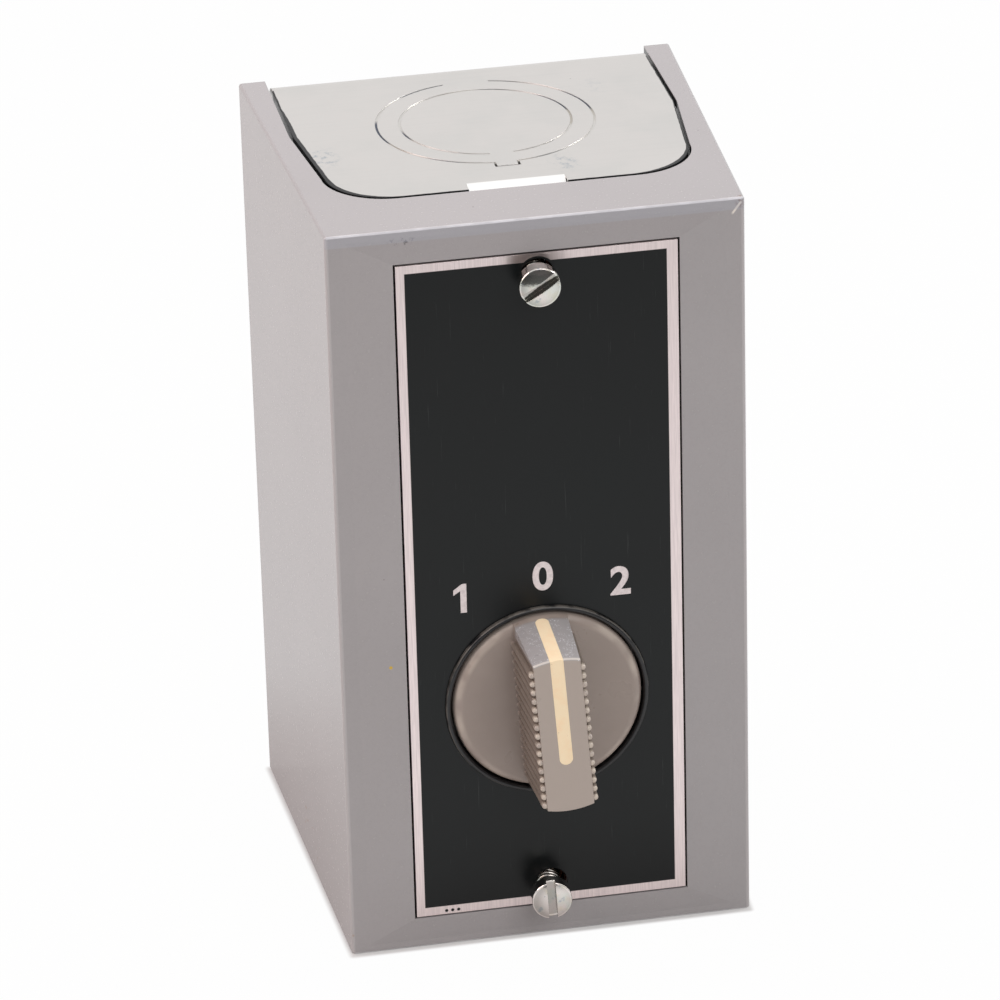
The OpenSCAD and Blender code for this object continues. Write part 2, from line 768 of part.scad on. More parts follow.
// Band of the stripe's width with a round lower end, up to a height
module stripe_plan(low, high) {
    translate([-stripe_w / 2, low + stripe_w / 2]) square([stripe_w, high - low - stripe_w / 2]);
    translate([0, low + stripe_w / 2]) circle(d = stripe_w);
}

// Pointer stripe, sunk to its thickness in the lever's face and upper end
module stripe()
    intersection() {
        lever_cone(0, 0, lever_out);
        union() {
            translate([0, 0, lever_out - stripe_t])
                linear_extrude(stripe_t + over) stripe_plan(-stripe_bottom, disc_r);
            difference() {
                along_lever(0) stripe_plan(stripe_low, lever_out + over);
                lever_cone(stripe_t, -over, lever_out + 2 * over);
            }
        }
    }

module selector_knob()
    color("rosybrown") at_knob() difference() {
        union() {
            rotate_extrude() disc_profile();
            rotate([0, 0, lever_lean]) lever();
            rod(stem_d, cam_front, 0);
            intersection() {
                rod(stem_d, stem_end, cam_front + over);
                slab(drive_flats, stem_d, stem_end, cam_front + over);
            }
        }
        rotate([0, 0, lever_lean]) stripe();
        rod(cam_screw_d + 2 * seat_gap, stem_end - over, stem_end + cam_screw_len + play);
    }

module pointer_inlay()
    color("wheat") at_knob() rotate([0, 0, lever_lean]) stripe();

// Plan of the cam's disc with its stop lug and detent notches
module detent_plan()
    difference() {
        union() {
            circle(d = detent_disc_d);
            wedge(stop_r, stop_half_angle);
        }
        for (turn = [-throw_angle, 0, throw_angle])
            rotate(turn) translate([0, -bump_centre]) circle(bump_r + play);
    }

module cam()
    color("beige") at_knob() difference() {
        union() {
            translate([0, 0, detent_disc_back]) linear_extrude(detent_disc_t) detent_plan();
            difference() {
                rod(cam_barrel_d, cam_end, detent_disc_back + cam_heel);
                translate([0, 0, cam_mid]) rotate([-cam_slope, 0, 0])
                    slab(2 * cam_barrel_d, 2 * cam_barrel_d, -cam_barrel_d, 0);
            }
            rod(hub_d, hub_back, detent_disc_back + cam_heel);
        }
        rod(cam_screw_head_d + 2 * seat_gap, cam_end - over, hub_back);
        rod(cam_screw_d + 2 * seat_gap, hub_back - over, cam_front + over);
        intersection() {
            rod(stem_d + 2 * seat_gap, stem_end - seat_gap, cam_front + over);
            slab(drive_flats + 2 * seat_gap, stem_d + 2 * seat_gap, stem_end - seat_gap,
                cam_front + over);
        }
    }

module cam_screw()
    color("lightgray") at_knob() translate([0, 0, hub_back]) mirror([0, 0, 1])
        slotted_screw(cam_screw_d, cam_screw_len + hub_web, cam_screw_head_d, cam_screw_head_h);

module detent_spring()
    color("silver") at_knob()
        translate([0, -bump_centre, leaf_middle - leaf_w / 2]) linear_extrude(leaf_w) {
            difference() {
                square([leaf_len, leaf_t], center = true);
                square([2 * (bump_r - leaf_t), leaf_t + over], center = true);
            }
            difference() {
                circle(bump_r);
                circle(bump_r - leaf_t);
                translate([-bump_r - over, -bump_r - leaf_t / 2])
                    square([2 * (bump_r + over), bump_r]);
            }
        }

// Places its children at a circuit on the left or on the right of the knob's axis
module at_circuit(side, up = 0)
    at_knob(side * circuit_x, up) children();

// Holes for the two long screws
module stack_holes(low, high)
    for (side = [-1, 1])
        at_knob(up = side * stack_z) rod(stack_screw_d + 2 * seat_gap, low - over, high + over);

module contact_block()
    color("saddlebrown") difference() {
        at_knob() slab(block_w, block_h, seam, housing_back);
        for (side = [-1, 1]) {
            at_circuit(side) {
                slab(chamber_w, 2 * chamber_half_h, seam - over, guide_back);
                rod(plunger_d + 2 * fit_gap, guide_back - over, housing_back + over);
            }
            for (end = [-1, 1])
                at_circuit(side, end * terminal_z)
                    rod(terminal_screw_d + 2 * seat_gap, seam - over, seam + terminal_screw_len);
        }
        stack_holes(seam, housing_back);
    }

module block_cover()
    color("sienna") difference() {
        at_knob() slab(block_w, block_h, block_back, seam);
        for (side = [-1, 1]) {
            at_circuit(side) rod(well_d, well_floor, seam + over);
            for (end = [-1, 1]) {
                slot_h = strip_outer_z - strip_inner_z + over;
                at_circuit(side, end * (strip_inner_z - seat_gap + slot_h / 2))
                    slab(bridge_w + 2 * seat_gap, slot_h, strip_back, seam + over);
                pocket_h = block_h / 2 - pocket_inner_z + over;
                at_circuit(side, end * (pocket_inner_z + pocket_h / 2))
                    slab(pocket_w, pocket_h, block_back - over, seam + over);
            }
        }
        stack_holes(block_back, seam);
    }

module plunger(side)
    color("ivory") at_circuit(side) {
        translate([0, 0, dome_centre]) sphere(d = plunger_d);
        rod(plunger_d, carrier_front - carrier_nose / 2, dome_centre);
        difference() {
            slab(carrier_w, carrier_h, carrier_back, carrier_front);
            slab(bridge_w + 2 * seat_gap, carrier_h + over, bridge_back - seat_gap,
                bridge_front + seat_gap);
        }
        rod(post_d, carrier_back - post_len, carrier_back + carrier_heel / 2);
    }

module bridge(side)
    color("goldenrod") at_circuit(side) {
        slab(bridge_w, 2 * (contact_z + button_d / 2 + button_edge), bridge_back, bridge_front);
        for (end = [-1, 1])
            translate([0, end * contact_z, 0]) rod(button_d, moving_button, bridge_back);
    }

module fixed_contact(side, end)
    color("goldenrod") difference() {
        union() {
            at_circuit(side, end * (strip_inner_z + strip_outer_z) / 2)
                slab(bridge_w, strip_outer_z - strip_inner_z, strip_back, seam);
            at_circuit(side, end * contact_z) rod(button_d, seam, fixed_button);
        }
        at_circuit(side, end * terminal_z)
            rod(terminal_screw_d + 2 * seat_gap, strip_back - over, seam + over);
    }

// Coil between two levels, with its wire swept as one tube
module coil(d, wire_d, low, high, turns) {
    rings = turns * coil_steps;
    mean_r = (d - wire_d) / 2;
    climb = (high - low - wire_d) / rings;
    points = [for (i = [0:rings], j = [0:wire_sides - 1])
        let (a = i * 360 / coil_steps, b = j * 360 / wire_sides,
            r = mean_r + wire_d / 2 * cos(b))
        [r * cos(a), r * sin(a), low + wire_d / 2 + i * climb + wire_d / 2 * sin(b)]];
    sides = [for (i = [0:rings - 1], j = [0:wire_sides - 1])
        let (p = i * wire_sides, q = p + wire_sides, k = (j + 1) % wire_sides)
        [p + j, q + j, q + k, p + k]];
    caps = [[for (j = [0:wire_sides - 1]) j],
        [for (j = [wire_sides - 1:-1:0]) rings * wire_sides + j]];
    polyhedron(points, concat(sides, caps));
}

module return_spring(side)
    color("silver") at_circuit(side)
        coil(spring_d, spring_wire_d, well_floor + seat_gap, carrier_back - seat_gap, spring_turns);

module at_terminals()
    for (side = [-1, 1], end = [-1, 1]) at_circuit(side, end * terminal_z) children();

module terminal_screws()
    color("khaki") at_terminals() translate([0, 0, clamp_back]) mirror([0, 0, 1])
        slotted_screw(terminal_screw_d, clamp_t + strip_t + terminal_screw_len - play,
            terminal_head_d, terminal_head_h);

module wire_clamps()
    color("khaki") at_terminals() difference() {
        slab(clamp_w, terminal_head_d, clamp_back, strip_back + clamp_side);
        slab(bridge_w + 2 * seat_gap, terminal_head_d + over, strip_back,
            strip_back + clamp_side + over);
        rod(terminal_screw_d + 2 * seat_gap, clamp_back - over, strip_back + over);
    }

module stack_screws()
    color("lightgray")
        for (side = [-1, 1])
            at_knob(up = side * stack_z) translate([0, 0, block_back]) mirror([0, 0, 1])
                slotted_screw(stack_screw_d, plate_back - seat_gap - block_back, stack_head_d,
                    stack_head_h);

base_bracket();
ground_screw();
cover();
nameplate();
mounting_yoke();
cover_screws();
screw_retainers();
bezel_ring();
operator_housing();
selector_knob();
pointer_inlay();
cam();
cam_screw();
detent_spring();
contact_block();
block_cover();
plunger(-1);  // plunger_left
plunger(1);  // plunger_right
bridge(-1);  // bridge_left
bridge(1);  // bridge_right
return_spring(-1);  // return_spring_left
return_spring(1);  // return_spring_right
fixed_contact(-1, 1);  // fixed_contact_upper_left
fixed_contact(1, 1);  // fixed_contact_upper_right
fixed_contact(-1, -1);  // fixed_contact_lower_left
fixed_contact(1, -1);  // fixed_contact_lower_right
terminal_screws();
wire_clamps();
stack_screws();
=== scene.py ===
"""Looks for a wall control station with a three-position selector switch, round its CAD model."""

import math

import bmesh
import bpy
from mathutils import Matrix, Vector


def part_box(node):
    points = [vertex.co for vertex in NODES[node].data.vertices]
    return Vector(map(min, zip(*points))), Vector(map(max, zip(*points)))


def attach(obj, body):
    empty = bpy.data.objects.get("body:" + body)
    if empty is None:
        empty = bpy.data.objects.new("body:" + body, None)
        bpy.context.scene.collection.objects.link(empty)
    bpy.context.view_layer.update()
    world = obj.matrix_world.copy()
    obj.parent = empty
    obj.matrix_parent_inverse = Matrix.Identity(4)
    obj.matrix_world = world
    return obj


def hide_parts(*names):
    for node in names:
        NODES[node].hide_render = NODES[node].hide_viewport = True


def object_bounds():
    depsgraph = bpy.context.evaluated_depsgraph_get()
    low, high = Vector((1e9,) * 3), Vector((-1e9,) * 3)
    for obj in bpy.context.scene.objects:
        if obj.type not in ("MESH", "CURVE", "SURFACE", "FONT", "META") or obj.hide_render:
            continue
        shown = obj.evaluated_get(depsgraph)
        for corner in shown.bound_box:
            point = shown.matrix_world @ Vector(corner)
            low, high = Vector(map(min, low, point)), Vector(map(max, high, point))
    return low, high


bl_info = {
    "name": "Selector switch control station",
    "version": (1, 0, 0),
    "blender": (4, 5, 0),
    "location": "3D View > Sidebar > Station",
    "description": "Dresses the packed model of a wall control station and sets up its studio",
    "category": "Add Mesh",
}

MM = 0.001
# Vertices nearer than this, in metres, are one
WELD = 1e-7

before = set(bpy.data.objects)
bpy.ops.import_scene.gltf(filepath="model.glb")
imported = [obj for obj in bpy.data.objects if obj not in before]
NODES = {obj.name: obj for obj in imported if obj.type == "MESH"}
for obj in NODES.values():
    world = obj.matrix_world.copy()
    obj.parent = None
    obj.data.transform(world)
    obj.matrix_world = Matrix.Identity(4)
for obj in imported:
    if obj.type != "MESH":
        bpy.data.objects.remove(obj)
CAD_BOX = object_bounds()


def node_box(name):
    """Lowest and highest corner of a CAD node, in millimetres."""
    low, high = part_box(name)
    return low / MM, high / MM


# Places on the CAD model, in millimetres
PLATE_LOW, PLATE_HIGH = node_box("nameplate")
COVER_LOW, COVER_HIGH = node_box("cover")
SCREWS_LOW, SCREWS_HIGH = node_box("cover_screws")
RING_LOW, RING_HIGH = node_box("bezel_ring")
PLATE_FACE = PLATE_LOW.y
KNOB_FACE = node_box("selector_knob")[0].y
KNOB_UP = (RING_LOW.z + RING_HIGH.z) / 2
SCREW_UP = (SCREWS_HIGH.z - SCREWS_LOW.z - (SCREWS_HIGH.x - SCREWS_LOW.x)) / 2
TOP = COVER_HIGH.z
BRACKET_SIDE = node_box("base_bracket")[1].x

# The cover: the rise of its front frame over the rim, and how much a wall splays per millimetre of depth
HIP_RISE = 0.3
RIM = COVER_LOW.y + HIP_RISE
COVER_SPLAY = 0.045
# Halves of the front's opening
OPENING_SIDE = 18.35
OPENING_END = 46.55
# The cut-outs in the end walls: half their width, and their front edge behind the rim
CUT_SIDE = 25.65
CUT_BACK = 9.2

# The bracket's flanges: their end behind the rim, corner radius, and the start and amount of their taper
FLANGE_END = RIM + 10.7
FLANGE_CORNER = 8
TAPER_FROM = 20
TAPER = 1.6
# The plated bend at the wall, and the tab at the flange's end: half its width, its root behind the rim, and
# how far below the top its painted highlight reaches
BEND_FRONT = -3.6
TAB_SIDE = 6.3
TAB_BACK = 12.8
TAB_HIGHLIGHT = 1.5
# Middle of the knockouts, a little behind the flange's middle, and the depth of the sheared lines' floors
# and of the floors' undersides
KNOCKOUT_Y = FLANGE_END / 2 + 0.6
LINE_DEPTH = 0.1
LINE_UNDERSIDE = 0.7

# Marks of wear on the cover, across and up from the part's middle
RUST_AT = (-26.4, -45.5)
PAINT_DOT_AT = (-20.2, -9.4)
SCUFF_AT = (-16.9, 49.4)
CHIP_AT = (26.3, 50.2)
STREAK_AT = (25.6, 49.5)
# Width of the painted highlight along the cover's front edges, and of the painted bluish reflection in a
# band under the top one
EDGE_HIGHLIGHT_WIDTH = 0.3
SKY_REFLECTION_BAND = 1.6
# Smudges on the flange: across, out from the wall, radius and strength
SMUDGES = ((-22.4, -28, 4.5, 0.6), (7, -37, 4.0, 0.5), (16, -12, 4.0, 0.15))
# The painted shade along the flange's edge widens on the left over the first stretch from the wall and
# narrows over the second
WIDENS = (-9.0, -17.0)
NARROWS = (-42.0, -35.0)
# The nameplate's border is this much wider at the right and below. Dots in it stand this far above the
# plate's lower end, at these places across
WIDER_RIGHT = 0.3
WIDER_BELOW = 0.1
DOTS_UP = 0.5
BORDER_DOTS = (-14.0, -13.2, -12.4)

# Radii on the knob: the painted highlight on its rim, the ridge above the lever's end, and the painted
# highlight on the ring's edge
RIM_HIGHLIGHT_FROM = 11.1
RIM_HIGHLIGHT_TO = 12.35
RIDGE_FROM = 10.72
RING_EDGE = 13.14
# The knob's disc ends and the lever's sides, painted darker as shade, begin this far ahead of the rim
SIDES_AHEAD = 1.5
# Halves of the lever's flat face and of its full width, and how far up its upper end begins
LEVER_FLAT = 3.1
LEVER_SIDE = 3.8
UPPER_FROM = 6.5

# How each cover screw stands: height of its axis, how far it is backed out beyond the CAD screw, the turn
# of its slot and its lean to the left in degrees, and where its slot lies across and out from the plate
SCREW_STANDS = (
    (SCREW_UP, -0.15, 33, 2.6, -0.52, 5.1),
    (-SCREW_UP, 0.35, 93, 4.4, -0.91, 5.6),
)

# The position numbers: middle of each across and up, outline of the 1, how much the built-in font's strokes
# are thickened, and the numbers' thickness and sinking
NUMBER_PLACES = {"1": (-11.0, -0.55), "0": (-0.2, 1.4), "2": (9.9, -0.4)}
OUTLINE_OF_1 = ((0.22, 0), (0.42, 0), (0.42, 1), (0.27, 1), (0.0, 0.8), (0.0, 0.62), (0.22, 0.76))
STROKE_OFFSET = 0.028
INK_DEPTH = 0.02
INK_SUNK = 0.005

# The fitted camera: its axes and place in metres, its focal length in pixels of the frame
CAMERA_ACROSS = Vector((0.98113924, -0.19180683, -0.02399874))
CAMERA_UP = Vector((0.10400474, 0.41916038, 0.90193547))
CAMERA_BACK = Vector((-0.16293806, -0.88742026, 0.43120351))
CAMERA_PLACE = Vector((-0.13004013, -0.73243687, 0.34238917))
FOCAL_PIXELS = 6040.4347
FRAME_PIXELS = 1000
SENSOR = 36

# The lamps: name, place and size in metres, colour, and whether bright metal mirrors them
LAMPS = (
    ("key", (-0.34, -0.06, 0.26), 0.26, (1.0, 0.8, 0.76), True),
    ("top", (-0.15, 0.15, 0.9), 0.6, (0.97, 0.97, 1.0), False),
    ("fill", (0.3, -1.0, 0.85), 0.8, (1.0, 0.98, 0.97), True),
    ("right", (0.6, 0.09, 0.36), 0.25, (1.0, 1.0, 1.0), True),
)
LIT_POINT = Vector((0, -0.027, 0))


# Building node trees


class Graph:
    """A node tree that is written as Python."""

    def __init__(self, tree):
        self.tree = tree

    def node(self, kind, settings=None, sockets=None, out=0):
        """Adds a node, sets it up, fills its sockets and returns one of its outputs.

        A list of values is linked to a socket that takes several.
        """
        made = self.tree.nodes.new(kind)
        for key, value in (settings or {}).items():
            setattr(made, key, value)
        for key, value in (sockets or {}).items():
            if isinstance(value, Value):
                self.tree.links.new(value.socket, made.inputs[key])
            elif isinstance(value, list):
                for joined in value:
                    self.tree.links.new(joined.socket, made.inputs[key])
            else:
                made.inputs[key].default_value = value
        return Value(self, made.outputs[out]) if made.outputs else made

    def math(self, operation, *values):
        return self.node("ShaderNodeMath", {"operation": operation}, dict(enumerate(values)))

    def length(self, first, second):
        """Length of a line from its two runs."""
        return self.math("SQRT", first * first + second * second)

    def ease(self, value, low, high):
        """0 below low and 1 above high, or the other way round where high is the smaller."""
        return self.node(
            "ShaderNodeMapRange",
            {"interpolation_type": "SMOOTHSTEP"},
            {"Value": value, "From Min": low, "From Max": high},
        )


class Value:
    """A socket that holds a number, with arithmetic that adds Math nodes."""

    def __init__(self, graph, socket):
        self.graph = graph
        self.socket = socket

    def __add__(self, other):
        return self.graph.math("ADD", self, other)

    def __sub__(self, other):
        return self.graph.math("SUBTRACT", self, other)

    def __rsub__(self, other):
        return self.graph.math("SUBTRACT", other, self)

    def __mul__(self, other):
        return self.graph.math("MULTIPLY", self, other)

    def __truediv__(self, other):
        return self.graph.math("DIVIDE", self, other)

    def __or__(self, other):
        return self.graph.math("MAXIMUM", self, other)

    def __and__(self, other):
        return self.graph.math("MINIMUM", self, other)

    def __abs__(self):
        return self.graph.math("ABSOLUTE", self)

    __radd__ = __add__
    __rmul__ = __mul__


class Finish(Graph):
    """A material. Places on the piece are in millimetres, in the CAD model's frame."""

    def __init__(self, name):
        self.material = bpy.data.materials.new(name)
        self.material.use_nodes = True
        super().__init__(self.material.node_tree)
        self.tree.nodes.clear()
        place = self.node("ShaderNodeTexCoord", out="Object")
        self.mm = self.node("ShaderNodeVectorMath", {"operation": "SCALE"}, {0: place, "Scale": 1 / MM})
        apart = [self.node("ShaderNodeSeparateXYZ", None, {0: self.mm}, axis) for axis in "XYZ"]
        self.x, self.y, self.z = apart

    def stretched(self, x, y, z):
        """The place with each direction scaled, for grain that runs one way."""
        return self.node("ShaderNodeMapping", None, {"Vector": self.mm, "Scale": (x, y, z)})

    def noise(self, scale, detail=2.0, roughness=0.5, place=None):
        return self.node(
            "ShaderNodeTexNoise",
            None,
            {"Vector": place or self.mm, "Scale": scale, "Detail": detail, "Roughness": roughness},
        )

    def cells(self, scale, out="Distance"):
        return self.node("ShaderNodeTexVoronoi", None, {"Vector": self.mm, "Scale": scale}, out)

    def specks(self, scale, size, share):
        """Round dots in a share of the cells of a grid."""
        kept = self.node("ShaderNodeSeparateColor", None, {0: self.cells(scale, "Color")})
        return self.ease(self.cells(scale), size, size * 0.6) * self.ease(kept, share, share - 0.01)

    def spot(self, across, up, radius, soft=0.15):
        """A round spot on the front, placed across and up."""
        return self.ease(self.length(self.x - across, self.z - up), radius + soft, radius - soft)

    def inside(self, left, right, low, high, soft=0.04):
        """A rectangle on the front."""
        across = self.ease(self.x, left - soft, left + soft)
        across = across * self.ease(self.x, right + soft, right - soft)
        up = self.ease(self.z, low - soft, low + soft) * self.ease(self.z, high + soft, high - soft)
        return across * up

    def blend(self, factor, first, second):
        """Colour that goes from first to second."""
        return self.node(
            "ShaderNodeMix", {"data_type": "RGBA"}, {"Factor": factor, 6: first, 7: second}, 2
        )

    def relief(self, height, depth, edge=0.0):
        """Normal of a surface with fine relief, its depth in millimetres, and with rounded edges."""
        sockets = {"Height": height, "Distance": depth * MM, "Strength": 1.0}
        if edge:
            sockets["Normal"] = self.node("ShaderNodeBevel", {"samples": 6}, {"Radius": edge * MM})
        return self.node("ShaderNodeBump", None, sockets)

    def surface(self, **sockets):
        """Ends the tree in its shader and returns the material."""
        named = {key.replace("_", " "): value for key, value in sockets.items()}
        shader = self.node("ShaderNodeBsdfPrincipled", None, named)
        self.node("ShaderNodeOutputMaterial", None, {"Surface": shader})
        return self.material


def shade(colour, share=1.0):
    """A setting's colour with its alpha, darkened to a share."""
    return (*(c * share for c in colour), 1.0)


def tone(red, green, blue):
    """Linear colour of a tone that is written in 0 to 255."""
    linear = [((c / 255 + 0.055) / 1.055) ** 2.4 if c > 10 else c / 3294.6 for c in (red, green, blue)]
    return (*linear, 1.0)


# Finishes


def cover_marks(made, colour):
    """Rust, a dot of paint, a scuff, and a chip with a bright streak at a corner."""
    rust = made.specks(0.75, 0.2, 0.3) * made.spot(*RUST_AT, 3.2, 1.4)
    rust = rust * made.ease(abs(made.x), CUT_SIDE + 0.25, CUT_SIDE + 0.55)
    colour = made.blend(rust * 0.7, colour, tone(140, 104, 66))
    colour = made.blend(made.spot(*PAINT_DOT_AT, 0.22, 0.08), colour, tone(206, 172, 60))
    front = made.ease(made.y, RIM + 1.0, RIM + 0.4)
    away = made.length((made.x - SCUFF_AT[0]) * 0.7, (made.z - SCUFF_AT[1]) * 2.2)
    scuff = made.ease(made.noise(1.9, 4.0, 0.75), 0.5, 0.62) * made.ease(away, 1.5, 0.7)
    colour = made.blend(scuff * front * 0.75, colour, tone(84, 82, 84))
    chip = made.spot(*CHIP_AT, 0.75, 0.35) * made.ease(made.noise(2.4, 3.0), 0.44, 0.5)
    colour = made.blend(chip * front * 0.8, colour, tone(118, 92, 78))
    streak = abs((made.x - STREAK_AT[0]) * 0.8 - (made.z - STREAK_AT[1]) * 0.6)
    streak = made.ease(streak, 0.2, 0.08) * made.spot(*STREAK_AT, 0.95, 0.2)
    return made.blend(streak * front, colour, tone(226, 218, 210))


def cover_edge_highlights(made, colour):
    """Painted highlights along the front's edges, and a painted bluish reflection in a band under the top
    one.
    """
    behind = made.y - RIM
    # Painted highlight along the top and bottom edges of the front.
    ends = made.ease((TOP - abs(made.z)) + behind, EDGE_HIGHLIGHT_WIDTH + 0.04, EDGE_HIGHLIGHT_WIDTH - 0.04)
    painted_edge_light = ends * (0.55 + made.ease(made.noise(0.3, 3.0), 0.4, 0.6) * 0.35)
    colour = made.blend(painted_edge_light, colour, tone(216, 214, 216))
    # Painted highlight, fainter, along the side edges of the front.
    inward = COVER_HIGH.x + made.y * COVER_SPLAY - abs(made.x)
    sides = made.ease(inward + behind, EDGE_HIGHLIGHT_WIDTH + 0.04, EDGE_HIGHLIGHT_WIDTH - 0.04)
    colour = made.blend(sides * 0.3, colour, tone(206, 202, 202))
    # Painted reflection of the light above, pale and bluish, in a band under the top edge.
    sky_reflection = made.ease(made.z, TOP - SKY_REFLECTION_BAND - 0.1, TOP - SKY_REFLECTION_BAND + 0.1)
    sky_reflection = sky_reflection * made.ease(made.y, RIM + HIP_RISE, RIM + 0.1)
    return made.blend(sky_reflection * 0.35, colour, tone(172, 176, 188))


def cover_gap_shade(made, colour):
    """Painted shade, with flecks of brown dirt, on the walls of the front's opening, and painted shade on
    the walls in the cut-outs.
    """
    # Painted shade on the walls of the front's opening, flecked with brown dirt.
    shaded_opening_wall = made.ease(abs(made.x), OPENING_SIDE, OPENING_SIDE - 0.13)
    shaded_opening_wall = shaded_opening_wall * made.ease(abs(made.z), OPENING_END, OPENING_END - 0.13)
    shaded_opening_wall = shaded_opening_wall * made.ease(made.y, RIM, RIM + 0.2)
    dirt_in_shade = made.ease(made.noise(1.1, 4.0, 0.7), 0.5, 0.66)
    colour = made.blend(shaded_opening_wall, colour, made.blend(dirt_in_shade, tone(20, 16, 15), tone(116, 88, 70)))
    # Painted shade on the walls of the cut-outs in the end walls.
    cut = made.ease(abs(made.z), TOP - 0.08, TOP - 0.2)
    cut = cut * made.ease(abs(made.x), CUT_SIDE + 0.05, CUT_SIDE - 0.05)
    cut = cut * made.ease(made.y, RIM + CUT_BACK - 0.2, RIM + CUT_BACK + 0.2)
    return made.blend(cut, colour, tone(14, 13, 13))


def grey_paint(settings):
    """Satin grey enamel with fine grain, dust specks and marks of wear, painted highlights on its front
    edges, and painted shade with some dirt in the gaps.
    """
    made = Finish("grey_paint")
    cloud = made.noise(0.045, 3.0)
    grain = made.noise(2.2, 3.0, 0.6)
    mottle = made.ease(cloud, 0.25, 0.8) * 0.4
    colour = made.blend(mottle, shade(settings.colour), shade(settings.colour, 0.9))
    colour = made.blend(made.ease(grain, 0.45, 0.75) * 0.12, colour, tone(128, 124, 122))
    colour = made.blend(made.specks(0.24, 0.036, 0.4) * 0.7, colour, tone(90, 84, 80))
    colour = made.blend(made.specks(0.33, 0.045, 0.12) * 0.12, colour, tone(212, 208, 206))
    for layer in (cover_marks, cover_edge_highlights, cover_gap_shade):
        colour = layer(made, colour)
    return made.surface(
        Base_Color=colour,
        Roughness=0.25 + made.ease(grain, 0.3, 0.8) * 0.03,
        Normal=made.relief(made.noise(0.4, 2.0), 0.003, 0.06),
        Specular_IOR_Level=0.5,
    )


def flange_shade_and_tab_highlight(made, colour):
    """Painted shade along the flanges' edges, wider on the left, and a painted highlight on the tab at the
    flange's end.
    """
    slope = TAPER / (-FLANGE_END - TAPER_FROM - FLANGE_CORNER)
    narrowed = (-TAPER_FROM - made.y | 0.0) * slope
    across = abs(made.x) + narrowed - (BRACKET_SIDE - FLANGE_CORNER)
    before = FLANGE_END + FLANGE_CORNER - made.y
    corner = made.length(across | 0.0, before | 0.0)
    inset = FLANGE_CORNER - corner - ((across | before) & 0.0)
    left = made.ease(made.x, 0.0, -1.0) * made.ease(made.y, *WIDENS) * made.ease(made.y, *NARROWS)
    wide = left * (0.3 + made.noise(0.4, 2.0) * 0.12) + made.noise(0.7, 3.0) * 0.2
    past_bend = made.ease(made.y, BEND_FRONT + 0.2, BEND_FRONT - 0.2)
    # Painted shade in a band along the flange's edge, where the gap beside the cover is dark.
    shaded_edge = made.ease(inset, wide + 0.08, wide) * past_bend
    # Painted shade on the flanges' cut sides below the top.
    low = made.ease(abs(made.z), TOP - 0.12, TOP - 0.3) * past_bend
    tab = made.ease(abs(made.x), TAB_SIDE, TAB_SIDE - 0.05)
    tab = tab * made.ease(made.y, RIM + TAB_BACK + 0.1, RIM + TAB_BACK - 0.1)
    colour = made.blend((low | shaded_edge) * (1 - tab), colour, tone(20, 20, 22))
    # Painted highlight on the tab.
    bright = tab * made.ease(made.z, TOP - TAB_HIGHLIGHT - 0.1, TOP - TAB_HIGHLIGHT + 0.1)
    return made.blend(bright, colour, tone(250, 250, 248))


def zinc_plate(settings):
    """Bright plated steel with faint tints and blue smudges, painted shade along the flanges' edges and a
    painted highlight on the tab.
    """
    made = Finish("zinc_plate")
    rolled = made.noise(1.0, 3.0, 0.6, made.stretched(0.06, 1.4, 0.06))
    cloud = made.noise(0.09, 3.0, 0.6)
    colour = made.blend(made.ease(cloud, 0.38, 0.72) * 0.3, shade(settings.colour), tone(196, 198, 196))
    colour = made.blend(made.ease(rolled, 0.45, 0.8) * 0.08, colour, tone(176, 178, 176))
    fleck = made.ease(made.noise(0.9, 4.0, 0.75), 0.47, 0.66)
    for across, out, radius, amount in SMUDGES:
        away = made.length((made.x - across) * 1.6, made.y - out)
        smudge = made.ease(away, radius, radius * 0.3) * fleck * amount
        colour = made.blend(smudge, colour, tone(124, 142, 156))
    colour = made.blend(made.specks(0.3, 0.045, 0.12) * 0.5, colour, tone(96, 98, 98))
    colour = flange_shade_and_tab_highlight(made, colour)
    return made.surface(
        Base_Color=colour,
        Metallic=0.78,
        Roughness=0.3 + made.ease(cloud, 0.3, 0.8) * 0.12,
        Normal=made.relief(rolled + made.noise(0.35, 2.0) * 0.8, 0.01, 0.16),
    )


